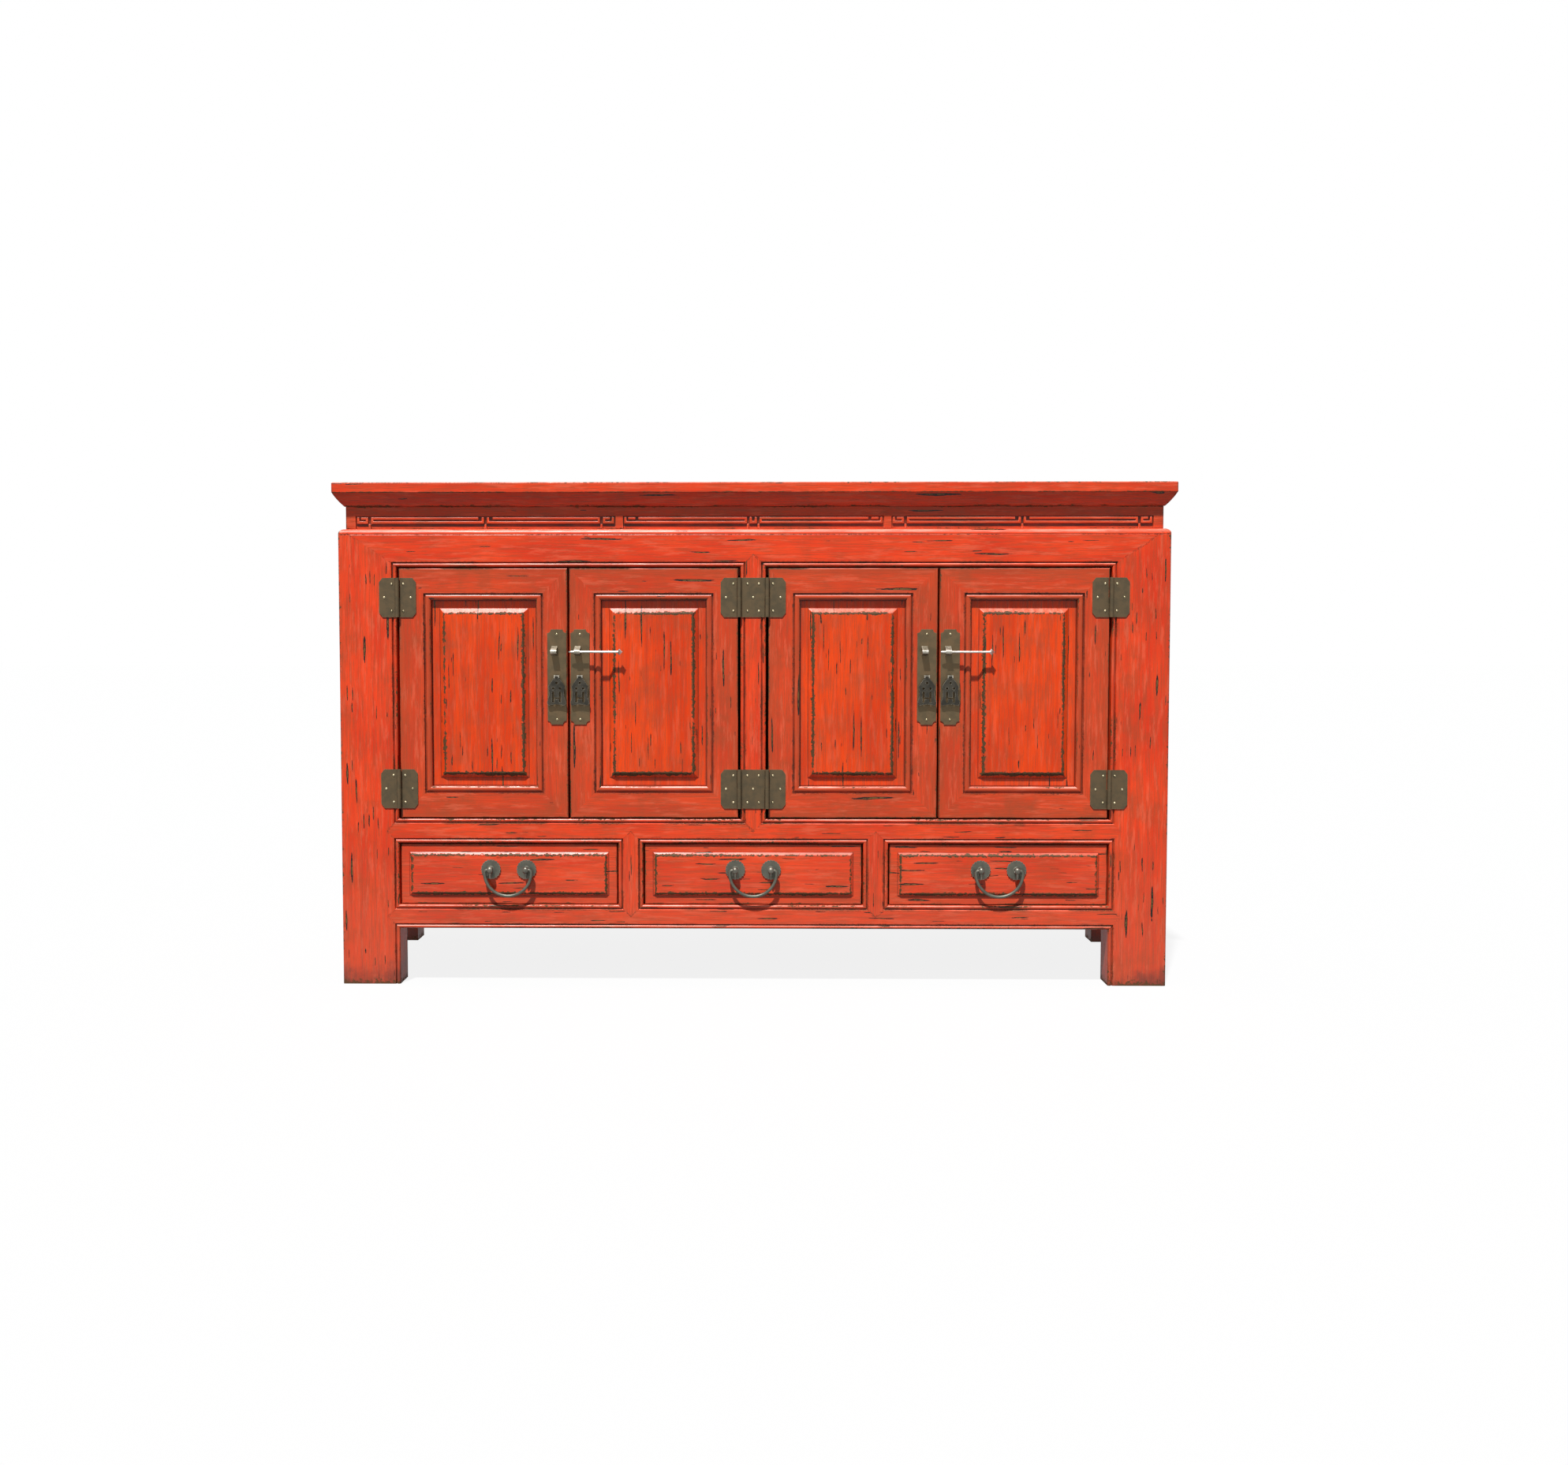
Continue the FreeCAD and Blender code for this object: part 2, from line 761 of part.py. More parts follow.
def hinged_left(number):
    """Doors 1 and 3 hang on their left edge, 2 and 4 on their right."""
    return number % 2 == 1


def hinge_axis_x(number):
    """Where a door's hinge pins stand, in the middle of the gap at its side."""
    x0 = door_lefts()[number - 1]
    if hinged_left(number):
        return x0 - door_side_gap / 2
    return x0 + door_width + door_side_gap / 2


def hinge_middles():
    """Heights of the two hinges of a door."""
    return [door_bottom + hinge_inset, door_top - hinge_inset]


def door_section():
    """Section of a door's frame: eased edge, flat face, quirk, round bead and panel groove."""
    width = door_flat + door_moulding
    ease = door_edge_round * (1 - math.sqrt(0.5))
    bead_in = door_flat + moulding_quirk_width
    groove_in = width - door_groove_depth
    groove_low = panel_recess + panel_slab
    return [
        (0, door_edge_round), (ease, ease, "arc"), (door_edge_round, 0), (door_flat, 0),
        (door_flat, moulding_quirk_depth), (bead_in, moulding_quirk_depth),
        ((bead_in + width) / 2, moulding_crest, "arc"), (width, moulding_quirk_depth), (width, panel_recess),
        (groove_in, panel_recess), (groove_in, groove_low), (width, groove_low),
        (width, door_thickness), (0, door_thickness),
    ]


def door_frame(x0):
    """Two stiles and two rails of a door, mitred, with tenons hidden in the mitres."""
    width = door_flat + door_moulding
    x1 = x0 + door_width
    sides = mitred_sides(x0, x1, door_bottom, door_top, face, door_thickness, 0, width, -1, door_section())
    y0 = face + door_tenon_drop
    rails = []
    tenons = []
    low = door_bottom + door_tenon_inset
    high = door_top - door_tenon_inset - door_tenon_width
    for name, z0 in (("bottom", low), ("top", high)):
        tenon = block(x0 + width - door_tenon_length, x1 - width + door_tenon_length,
                      y0, y0 + door_tenon_thickness, z0, z0 + door_tenon_width)
        tenons.append(tenon)
        rails.append(joined([sides[name], tenon]))
    stiles = [sides[name].cut(tenons) for name in ("left", "right")]
    return stiles + rails


def raised_field(x0, x1, z0, z1, base_y, top_y, bevel):
    """A field that rises in a bevel from its edges to a flat middle."""
    low = [Vector(x0, base_y, z0), Vector(x1, base_y, z0), Vector(x1, base_y, z1), Vector(x0, base_y, z1)]
    high = [Vector(x0 + bevel, top_y, z0 + bevel), Vector(x1 - bevel, top_y, z0 + bevel),
            Vector(x1 - bevel, top_y, z1 - bevel), Vector(x0 + bevel, top_y, z1 - bevel)]
    faces = [Part.Face(Part.makePolygon(low + low[:1])), Part.Face(Part.makePolygon(high + high[:1]))]
    for start in range(4):
        end = (start + 1) % 4
        corners = [low[start], low[end], high[end], high[start], low[start]]
        faces.append(Part.Face(Part.makePolygon(corners)))
    return Part.Solid(Part.Shell(faces))


def door_panel(x0):
    """A door's floating panel with a raised field."""
    width = door_flat + door_moulding
    x1 = x0 + door_width - width
    x0 = x0 + width
    z0 = door_bottom + width
    z1 = door_top - width
    reach = door_groove_depth - panel_play
    slab = block(x0 - reach, x1 + reach, face + panel_recess, face + panel_recess + panel_slab,
                 z0 - reach, z1 + reach)
    field = raised_field(x0 + panel_margin, x1 - panel_margin, z0 + panel_margin, z1 - panel_margin,
                         face + panel_recess, face + field_drop, field_bevel)
    return joined([slab, field])


def leaf_path(axis, away, middle):
    """Outline of a hinge leaf that stands clear of the other leaf's knuckle."""
    near = axis + away * (barrel_diameter / 2 + barrel_play)
    far = axis + away * leaf_width
    low = middle - hinge_height / 2
    high = middle + hinge_height / 2
    return [
        (near, low), (far - away * leaf_corner_x, low), (far, low + leaf_corner_z),
        (far, high - leaf_corner_z), (far - away * leaf_corner_x, high), (near, high),
    ]


def leaf_nails(axis, away, middle):
    """Places of the three nails in a hinge leaf."""
    inner = axis + away * leaf_nail_inner
    end = hinge_height / 2 - leaf_nail_end
    return [(inner, middle - end), (inner, middle + end), (axis + away * leaf_nail_outer, middle)]


def knuckle(axis, away, middle, upper, bore):
    """Half of a hinge barrel with the tab that joins it to its leaf."""
    z0 = middle + knuckle_gap / 2 if upper else middle - hinge_height / 2
    z1 = middle + hinge_height / 2 if upper else middle - knuckle_gap / 2
    barrel = rod(barrel_diameter / 2, Vector(axis, hinge_axis_y, z0), Vector(axis, hinge_axis_y, z1))
    x0, x1 = sorted((axis, axis + away * (barrel_diameter / 2 + barrel_play)))
    tab = block(x0, x1, face - leaf_thickness, face, z0, z1)
    hole = rod(bore / 2, Vector(axis, hinge_axis_y, z0 - cut_margin),
               Vector(axis, hinge_axis_y, z1 + cut_margin))
    tab = tab.cut(barrel)
    return barrel.cut(hole), tab


def nail(x, z, surface, depth):
    """A round-headed nail driven in from the front of a plate."""
    radius = nail_head / 2
    ball = (radius ** 2 + nail_dome ** 2) / (2 * nail_dome)
    dome = Part.makeSphere(ball, Vector(x, surface - nail_dome + ball, z))
    head = dome.common(block(x - radius, x + radius, surface - nail_dome, surface, z - radius, z + radius))
    shank = rod(nail_shank / 2, Vector(x, surface, z), Vector(x, surface + depth, z))
    return joined([head, shank])


def nail_holes(places, surface, depth):
    """Holes that the nails fill."""
    return [rod(nail_shank / 2, Vector(x, surface - cut_margin, z), Vector(x, surface + depth, z))
            for x, z in places]


def frame_hinges():
    """Leaves on the legs and centre stile, the hinge pins, and the nails that hold the leaves."""
    surface = face - leaf_thickness
    leaves = []
    pins = []
    places = []
    centre = {middle: [] for middle in hinge_middles()}
    for number in range(1, 5):
        axis = hinge_axis_x(number)
        away = -1 if hinged_left(number) else 1
        for middle in hinge_middles():
            barrel, tab = knuckle(axis, away, middle, True, hinge_pin_diameter)
            pins.append(rod(hinge_pin_diameter / 2, Vector(axis, hinge_axis_y, middle - hinge_height / 2),
                            Vector(axis, hinge_axis_y, middle + hinge_height / 2)))
            if number in (1, 4):
                spots = leaf_nails(axis, away, middle)
                leaf = plate_xz(leaf_path(axis, away, middle), surface, face)
                leaf = leaf.cut(nail_holes(spots, surface, leaf_thickness + cut_margin))
                leaves.append(joined([leaf, tab, barrel]))
                places.extend(spots)
            else:
                centre[middle].extend([tab, barrel])
    half = hinge_axis_x(3) - barrel_diameter / 2 - barrel_play
    for middle, knuckles in centre.items():
        end = hinge_height / 2 - leaf_nail_end
        row = half / 2
        spots = [(x, z) for x in (-row, row) for z in (middle - end, middle + end)]
        spots.append((0, middle))
        plate = block(-half, half, surface, face, middle - hinge_height / 2, middle + hinge_height / 2)
        plate = plate.cut(nail_holes(spots, surface, leaf_thickness + cut_margin))
        leaves.append(joined([plate] + knuckles))
        places.extend(spots)
    nails = [nail(x, z, surface, nail_length) for x, z in places]
    nodes = {
        "frame_hinge_leaves": Part.makeCompound(leaves),
        "hinge_pins": Part.makeCompound(pins),
        "frame_nails": Part.makeCompound(nails),
    }
    return nodes, nail_holes(places, face, nail_length - leaf_thickness)


def door_hinge_leaves(number):
    """The two hinge leaves on one door, and the places of their nails."""
    axis = hinge_axis_x(number)
    away = 1 if hinged_left(number) else -1
    surface = face - leaf_thickness
    leaves = []
    places = []
    for middle in hinge_middles():
        spots = leaf_nails(axis, away, middle)
        leaf = plate_xz(leaf_path(axis, away, middle), surface, face)
        leaf = leaf.cut(nail_holes(spots, surface, leaf_thickness + cut_margin))
        barrel, tab = knuckle(axis, away, middle, False, hinge_pin_diameter + 2 * hinge_pin_play)
        leaves.append(joined([leaf, tab, barrel]))
        places.extend(spots)
    return Part.makeCompound(leaves), places


def meeting_edge(number):
    """The edge where a door meets its partner, and the direction into the door from it."""
    x0 = door_lefts()[number - 1]
    if hinged_left(number):
        return x0 + door_width, -1
    return x0, 1


def plate_middle_x(number):
    """Middle of a door's lock plate."""
    edge, inward = meeting_edge(number)
    return edge + inward * (plate_edge_gap + plate_width / 2)


def lock_plate(number):
    """A long plate with hollowed corners, and the places of its nails."""
    middle = plate_middle_x(number)
    x0 = middle - plate_width / 2
    x1 = middle + plate_width / 2
    z0 = plate_top - plate_height
    z1 = plate_top
    hollow = plate_corner * math.sqrt(0.5)
    path = [
        (x0 + plate_corner, z0), (x1 - plate_corner, z0), (x1 - hollow, z0 + hollow, "arc"),
        (x1, z0 + plate_corner), (x1, z1 - plate_corner), (x1 - hollow, z1 - hollow, "arc"),
        (x1 - plate_corner, z1), (x0 + plate_corner, z1), (x0 + hollow, z1 - hollow, "arc"),
        (x0, z1 - plate_corner), (x0, z0 + plate_corner), (x0 + hollow, z0 + hollow, "arc"),
    ]
    spots = [(middle, z0 + plate_nail_inset), (middle, z1 - plate_nail_inset)]
    plate = plate_xz(path, plate_face, face)
    plate = plate.cut(nail_holes(spots, plate_face, plate_thickness + cut_margin))
    return plate, spots


def strap_section(middle_y, radius, top_z, bottom_z, base_y):
    """Section of a bent strap: two legs from the plate and a round bend about the pin."""
    high = math.radians(loop_bend_top)
    low = math.radians(loop_bend_bottom)
    upper = (middle_y - radius * math.cos(high), pin_axis_z + radius * math.sin(high))
    lower = (middle_y - radius * math.cos(low), pin_axis_z + radius * math.sin(low))
    return [(base_y, top_z), upper, (middle_y - radius, pin_axis_z, "arc"), lower, (base_y, bottom_z)]


def pin_loop(number):
    """The bent strap on a lock plate that takes the locking pin."""
    edge, inward = meeting_edge(number)
    inset = loop_inset_left if hinged_left(number) else loop_inset_right
    x0 = edge + inward * inset - loop_width / 2
    inner = pin_diameter / 2 + loop_play
    outer = inner + loop_thickness

    def strap(radius, top_z, bottom_z, base_y, start, width):
        path = strap_section(pin_axis_y, radius, top_z, bottom_z, base_y)
        wire = outline(lambda y, z: Vector(start, y, z), path)
        return Part.Face(wire).extrude(Vector(width, 0, 0))

    outside = strap(outer, pin_axis_z + loop_top, pin_axis_z - loop_bottom, plate_face, x0, loop_width)
    inside = strap(inner, pin_axis_z + loop_top - loop_thickness, pin_axis_z - loop_bottom + loop_thickness,
                   plate_face + cut_margin, x0 - cut_margin, loop_width + 2 * cut_margin)
    return outside.cut(inside)


def pendant_staple(number):
    """Two cheeks on a lock plate with the cross pin that a pendant hangs on."""
    middle = plate_middle_x(number)
    half = pendant_eye_width / 2 + staple_play
    reach = half + staple_cheek
    pieces = [rod(pendant_pin_diameter / 2, Vector(middle - reach, pendant_axis_y, pendant_axis_z),
                  Vector(middle + reach, pendant_axis_y, pendant_axis_z))]
    for x0 in (middle - half - staple_cheek, middle + half):
        pieces.append(block(x0, x0 + staple_cheek, pendant_axis_y - pendant_pin_diameter / 2, plate_face,
                            pendant_axis_z - staple_height / 2, pendant_axis_z + staple_height / 2))
    return joined(pieces)


def pendant(number):
    """A pierced drop that swings on its staple."""
    middle = plate_middle_x(number)
    y0 = pendant_axis_y - pendant_thickness / 2
    y1 = pendant_axis_y + pendant_thickness / 2
    z = pendant_axis_z

    def mirrored(points):
        right = [(middle + point[0] / 2, z - point[1]) + point[2:] for point in points]
        left = [(middle - point[0] / 2, z - point[1]) + point[2:] for point in reversed(points)]
        base = (middle, z - pendant_height + pendant_base_rise, "arc")
        return right + [base] + left

    sides = [
        (pendant_eye_diameter, 0), (pendant_shoulder_width, pendant_shoulder_drop),
        (pendant_neck_width, pendant_neck_drop, "arc"), (pendant_foot_width, pendant_foot_drop),
        (pendant_corner_width, pendant_corner_drop, "arc"), (pendant_base_width, pendant_height),
    ]
    body = plate_xz(mirrored(sides), y0, y1)
    front = y0 - cut_margin
    behind = y1 + cut_margin

    def hole(x, drop, width):
        return rod(width / 2, Vector(x, front, z - drop), Vector(x, behind, z - drop))

    slot_x = pendant_eyes_spacing / 2
    cuts = [hole(middle, pendant_top_hole_drop, pendant_hole)]
    for side in (-1, 1):
        x = middle + side * slot_x
        cuts.append(hole(x, pendant_eyes_drop, pendant_hole))
        cuts.append(hole(x, pendant_slot_top, pendant_slot_width))
        cuts.append(hole(x, pendant_slot_bottom, pendant_slot_width))
        cuts.append(block(x - pendant_slot_width / 2, x + pendant_slot_width / 2, front, behind,
                          z - pendant_slot_bottom, z - pendant_slot_top))
    cuts.append(block(middle - slot_x, middle + slot_x, front, behind,
                      z - pendant_bridge_drop - pendant_bridge_height, z - pendant_bridge_drop))
    half = pendant_eye_width / 2
    eye = rod(pendant_eye_diameter / 2, Vector(middle - half, pendant_axis_y, z),
              Vector(middle + half, pendant_axis_y, z))
    cheek = pendant_eye_diameter / 2 + staple_play
    for side in (-1, 1):
        x0, x1 = sorted((middle + side * half, middle + side * pendant_shoulder_width))
        cuts.append(block(x0, x1, front, behind, z - cheek, z + cheek))
    reach = half + cut_margin
    bore = rod(pendant_pin_diameter / 2 + pendant_pin_play, Vector(middle - reach, pendant_axis_y, z),
               Vector(middle + reach, pendant_axis_y, z))
    return joined([body.cut(cuts), eye]).cut(bore)


def locking_pin(number):
    """A pin with a faceted knob, drawn back so that its tip just clears the partner door."""
    edge, inward = meeting_edge(number)
    tip = Vector(edge + pin_tip_clearance, pin_axis_y, pin_axis_z)
    neck = tip + ALONG * pin_length
    shaft = rod(pin_diameter / 2, tip, neck)
    taper = Part.makeCone(pin_diameter / 4, pin_diameter / 2, pin_diameter, tip, ALONG)
    cap = rod(pin_diameter / 2 + cut_margin, tip - ALONG * cut_margin, tip + ALONG * pin_diameter)
    shaft = joined([shaft.cut(cap), taper])
    middle = neck
    ends = [middle + ALONG * knob_reach, middle - ALONG * knob_reach]
    tops = [middle + UP * knob_reach, middle - UP * knob_reach]
    fronts = [middle + DEEP * knob_depth, middle - DEEP * knob_depth]
    faces = [Part.Face(Part.makePolygon([a, b, c, a])) for a in ends for b in tops for c in fronts]
    knob = Part.Solid(Part.Shell(faces))
    return joined([shaft, knob])


def doors():
    """Four doors with their hinges, lock plates, loops, nails, pendants and locking pins."""
    nodes = {}
    for number, x0 in enumerate(door_lefts(), 1):
        name = "door_%d_" % number
        leaves, leaf_spots = door_hinge_leaves(number)
        plate, plate_spots = lock_plate(number)
        holes = nail_holes(leaf_spots, face, nail_length - leaf_thickness)
        holes += nail_holes(plate_spots, face, nail_length - plate_thickness)
        nodes[name + "frame"] = Part.makeCompound([bar.cut(holes) for bar in door_frame(x0)])
        nodes[name + "panel"] = door_panel(x0)
        nodes[name + "hinge_leaves"] = leaves
        nodes[name + "lock_plate"] = Part.makeCompound([plate, pin_loop(number), pendant_staple(number)])
        nails = [nail(x, z, face - leaf_thickness, nail_length) for x, z in leaf_spots]
        nails += [nail(x, z, plate_face, nail_length) for x, z in plate_spots]
        nodes[name + "nails"] = Part.makeCompound(nails)
        nodes["pendant_%d" % number] = pendant(number)
    nodes["locking_pin_left"] = locking_pin(2)
    nodes["locking_pin_right"] = locking_pin(4)
    return nodes


def drawer_front_box(x0):
    """Edges of a drawer's front."""
    return (x0 + drawer_side_gap, x0 + drawer_opening_width - drawer_side_gap,
            apron_top + drawer_bottom_gap, mid_rail_bottom - drawer_top_gap)


def pull_places(x0):
    """Where a drawer's two rosettes sit."""
    left, right, low, high = drawer_front_box(x0)
    middle = (left + right) / 2
    return [middle - pull_spacing / 2, middle + pull_spacing / 2], (low + high) / 2 + pull_rise


def drawer_front(x0):
    """A drawer's front board with a raised field and holes for the posts."""
    left, right, low, high = drawer_front_box(x0)
    base = face + drawer_field_rise
    board = block(left, right, base, face + drawer_front_thickness, low, high)
    field = raised_field(left + drawer_margin, right - drawer_margin, low + drawer_margin,
                         high - drawer_margin, base, face, drawer_bevel)
    places, z = pull_places(x0)
    behind = face + drawer_front_thickness + cut_margin
    holes = [rod(post_shank / 2, Vector(x, face - cut_margin, z), Vector(x, behind, z)) for x in places]
    return joined([board, field]).cut(holes)


def drawer_box(x0):
    """Two sides, back and floor of a drawer."""
    outer0 = x0 + drawer_box_gap
    outer1 = x0 + drawer_opening_width - drawer_box_gap
    inner0 = outer0 + drawer_side_thickness
    inner1 = outer1 - drawer_side_thickness
    y0 = face + drawer_front_thickness
    y1 = face + drawer_depth
    z0 = apron_top + runner_play
    z1 = z0 + drawer_side_height
    floor_z = z0 + drawer_floor_rise
    floor = block(inner0 - drawer_floor_tongue, inner1 + drawer_floor_tongue, y0, y1 - drawer_side_thickness,
                  floor_z, floor_z + drawer_floor_thickness)
    spans = ((outer0, inner0), (inner1, outer1))
    sides = [block(a, b, y0, y1, z0, z1).cut(floor) for a, b in spans]
    rear = block(inner0, inner1, y1 - drawer_side_thickness, y1, floor_z, z1)
    return Part.makeCompound(sides + [rear, floor])


def pull_mount(x, z):
    """A scalloped rosette, and a post whose eye takes the bail."""
    seat = face - rosette_thickness
    radius = rosette_diameter / 2 - rosette_lobe_diameter / 2
    disc = rod(radius, Vector(x, face, z), Vector(x, seat, z))
    lobes = []
    for number in range(rosette_lobes):
        turn = 2 * math.pi * number / rosette_lobes
        place = Vector(x + radius * math.cos(turn), face, z + radius * math.sin(turn))
        lobes.append(rod(rosette_lobe_diameter / 2, place, place - DEEP * rosette_thickness))
    crown = seat - rosette_dome
    boss = Part.makeCone(rosette_boss / 2, post_diameter / 2, rosette_dome, Vector(x, seat, z), DEEP * -1)
    hole = rod(post_shank / 2, Vector(x, face + cut_margin, z), Vector(x, crown - cut_margin, z))
    rosette = joined([disc, boss] + lobes).cut(hole)
    axis = Vector(x, bail_axis_y, z)
    half = eye_width / 2
    reach = eye_diameter / 2
    flat = math.degrees(math.asin(half / reach))
    eye = Part.makeSphere(reach, axis, ALONG, -flat, flat)
    drop = Part.makeCone(drop_width / 2, drop_tip / 2, drop_length, axis, UP * -1)
    neck = rod(post_diameter / 2, Vector(x, crown, z), axis)
    shank = rod(post_shank / 2, Vector(x, face + drawer_front_thickness, z), axis)
    bore = rod(bail_wire / 2 + bail_play, axis - ALONG * eye_width, axis + ALONG * eye_width)
    post = joined([eye, drop, neck, shank]).cut(bore)
    seat_cut = block(x - reach, x + reach, crown, face, z - drop_length, z + reach)
    post = post.cut(seat_cut.cut(hole))
    return [rosette, post]


def bail(x0):
    """A bail bent from round wire, its ends turned into the eyes of the posts."""
    places, z = pull_places(x0)
    middle = (places[0] + places[1]) / 2
    bend_x = pull_spacing / 2 + eye_width / 2 + bail_end_gap
    pin_x = bend_x - bail_pin_inside
    round_radius = bend_x + bail_bend
    low_z = z - bail_bend
    slant = math.sqrt(0.5)
    elbow_x = bend_x + bail_bend * slant
    elbow_z = z - bail_bend * (1 - slant)

    def at(x, height):
        return Vector(middle + x, bail_axis_y, height)

    edges = []
    for side in (-1, 1):
        edges.append(Part.LineSegment(at(side * pin_x, z), at(side * bend_x, z)).toShape())
        edges.append(Part.Arc(at(side * bend_x, z), at(side * elbow_x, elbow_z),
                              at(side * round_radius, low_z)).toShape())
    edges.append(Part.Arc(at(-round_radius, low_z), at(0, low_z - round_radius),
                          at(round_radius, low_z)).toShape())
    path = Part.Wire(Part.__sortEdges__(edges))
    ring = Part.Wire(Part.makeCircle(bail_wire / 2, at(-pin_x, z), ALONG))
    return path.makePipeShell([ring], True, True)


def drawers():
    """Three drawers with their pulls."""
    nodes = {}
    for number, x0 in enumerate(drawer_lefts(), 1):
        name = "drawer_%d_" % number
        places, z = pull_places(x0)
        mounts = []
        for x in places:
            mounts.extend(pull_mount(x, z))
        nodes[name + "front"] = drawer_front(x0)
        nodes[name + "box"] = drawer_box(x0)
        nodes[name + "pull_mounts"] = Part.makeCompound(mounts)
        nodes["bail_%d" % number] = bail(x0)
    return nodes


def build():
    """Every piece of the sideboard, by name."""
    nodes = carcass()
    hinges, holes = frame_hinges()
    for name in ("leg_front_left", "leg_front_right", "front_stiles"):
        nodes[name] = nodes[name].cut(holes)
    nodes.update(hinges)
    nodes.update(drawer_tracks())
    nodes.update(door_stops())
    nodes.update(top())
    nodes.update(waist())
    nodes.update(doors())
    nodes.update(drawers())
    return nodes


os.makedirs("parts", exist_ok=True)
for name, shape in build().items():
    shape.exportStep("parts/%s.step" % name)
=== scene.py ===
import bpy
import bmesh
import json
import math
import random
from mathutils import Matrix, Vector

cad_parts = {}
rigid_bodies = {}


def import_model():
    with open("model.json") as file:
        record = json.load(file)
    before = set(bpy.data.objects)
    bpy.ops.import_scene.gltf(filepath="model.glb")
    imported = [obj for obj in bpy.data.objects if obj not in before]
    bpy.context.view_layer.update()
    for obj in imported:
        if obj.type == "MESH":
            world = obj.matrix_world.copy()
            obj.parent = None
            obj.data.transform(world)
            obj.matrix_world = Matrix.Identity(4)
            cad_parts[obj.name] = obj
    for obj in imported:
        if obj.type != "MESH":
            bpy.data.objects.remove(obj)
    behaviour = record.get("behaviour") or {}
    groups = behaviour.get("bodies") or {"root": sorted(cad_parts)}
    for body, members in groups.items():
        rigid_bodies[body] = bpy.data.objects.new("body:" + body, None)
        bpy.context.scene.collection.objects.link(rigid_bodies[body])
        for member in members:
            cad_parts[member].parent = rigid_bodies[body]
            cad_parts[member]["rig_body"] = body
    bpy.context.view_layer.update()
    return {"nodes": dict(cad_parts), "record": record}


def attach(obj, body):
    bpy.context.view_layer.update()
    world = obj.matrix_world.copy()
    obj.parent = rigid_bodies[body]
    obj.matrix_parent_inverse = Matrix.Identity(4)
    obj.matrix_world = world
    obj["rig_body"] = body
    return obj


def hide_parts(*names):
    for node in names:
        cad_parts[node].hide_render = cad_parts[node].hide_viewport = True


# The photo's frame, in pixels, and the camera that fits it
PHOTO_WIDTH = 1988
CAMERA_PLACE = (0.0075, -2.8, 0.6238)
CAMERA_PITCH = -2.689
CAMERA_YAW = 0.708
CAMERA_FOCAL_PX = 1810.1
CAMERA_SHIFT_PX = (56.2, -27.8)
CAMERA_CLIP = (0.05, 200.0)
SENSOR = 36.0

# Light and floor
SUN_TRAVEL = (4.0, 12.0, -25.6)
SUN_STRENGTH = 5.7
SUN_ANGLE = 2.0
SKY_STRENGTH = 0.26
WHITE = (1.0, 1.0, 1.0, 1.0)
FLOOR_HALF_SIZE = 40.0
FLOOR_BOUNCE = (0.12, 0.12, 0.12)
FLOOR_COLOUR = (0.52, 0.52, 0.52)
FLOOR_WHITE_SHARE = 0.86

# Softened arrises, in metres
WOOD_BEVEL = 0.0009
FRET_BEVEL = 0.0018
PLATE_BEVEL = 0.00035
BEVEL_STEPS = 2
FRET_BEVEL_STEPS = 3
SHARP_ANGLE = math.radians(28)
SMOOTH_ANGLE = math.radians(32)
FLAT_ANGLE = math.radians(0.6)
WELD_DIGITS = 6

# A mitre's edge: its least length, and how flat and how near 45 degrees it has to be
MITRE_LEAST = 0.008
MITRE_FLAT = 0.02
MITRE_EVEN = 0.35

# Half heights that part pulls from their posts, and lock plates from their loops
PULL_HALF_HEIGHT = 0.012
PLATE_HALF_HEIGHT = 0.05

# Lacquer colours, linear
RED_BRIGHT = (0.88, 0.064, 0.013)
RED_DEEP = (0.70, 0.038, 0.008)
FIELD_BRIGHT = (0.86, 0.064, 0.004)
FIELD_DEEP = (0.66, 0.038, 0.002)
RED_BROWN = (0.36, 0.060, 0.018)
RED_PALE = (0.88, 0.170, 0.085)
# Painted highlight: pale pink for upper sides that face the front
RED_PAINTED_HIGHLIGHT = (0.92, 0.340, 0.260)
OLIVE = (0.165, 0.088, 0.022)
UMBER = (0.085, 0.044, 0.015)
SOIL = (0.42, 0.100, 0.058)
STAIN = (0.13, 0.040, 0.028)
# Near black for cracks and wear, and for painted shade in grooves and creases
SOOT_AND_SHADE = (0.016, 0.008, 0.005)

# Bare wood colours, linear
WOOD_DARK = (0.17, 0.085, 0.036)
WOOD_LIGHT = (0.34, 0.19, 0.085)
WOOD_STREAK = (0.10, 0.05, 0.022)
WOOD_STAIN = (0.12, 0.07, 0.035)

# Where the sections turn, in metres: the front's plane, the depth of grooves in it, and how far
# in from a board's own sides the raised fields begin and end
FRONT_FACE = -0.2144
BEAD_GROOVE = 0.0026
DOOR_QUIRK = 0.0030
WAIST_FACE = -0.2024
FRET_GROUND = 0.0030
DOOR_PANEL_SIGHT = 0.0075
DOOR_FIELD = (0.0225, 0.0315)
DRAWER_FIELD = (0.0150, 0.0200)
LIP_EDGES = (0.8960, 0.9134)

# Patterns: how fine each one is, and how far some are drawn out along the grain
BOARD_SHIFT = (3.7, 5.1, 4.3)
GRAIN_STRETCH = 0.045
CHALK_STRETCH = 0.12
RAGGED_STRETCH = 0.15
BARE_GRAIN_STRETCH = 0.05
SCRATCH_STRETCH = (1.0, 1.0, 0.06)
BROAD_SCALE = 6.0
FIELD_WEAR_SCALE = 9.0
GATHER_SCALE = 11.0
BROKEN_SCALE = 12.0
THIN_SCALE = 14.0
GRIME_AND_SHADE_SCALE = 22.0
FIGURE_SCALE = 75.0
RAGGED_SCALE = 120.0
CHALK_SCALE = 130.0
JAG_SCALE = 150.0
STREAK_SCALE = 480.0
BARE_STAIN_SCALE = 6.0
BARE_FIGURE_SCALE = 38.0
BARE_STREAK_SCALE = 330.0
CLOUD_SCALE = 70.0
SCRATCH_SCALE = 700.0
SPECK_SCALE = 900.0

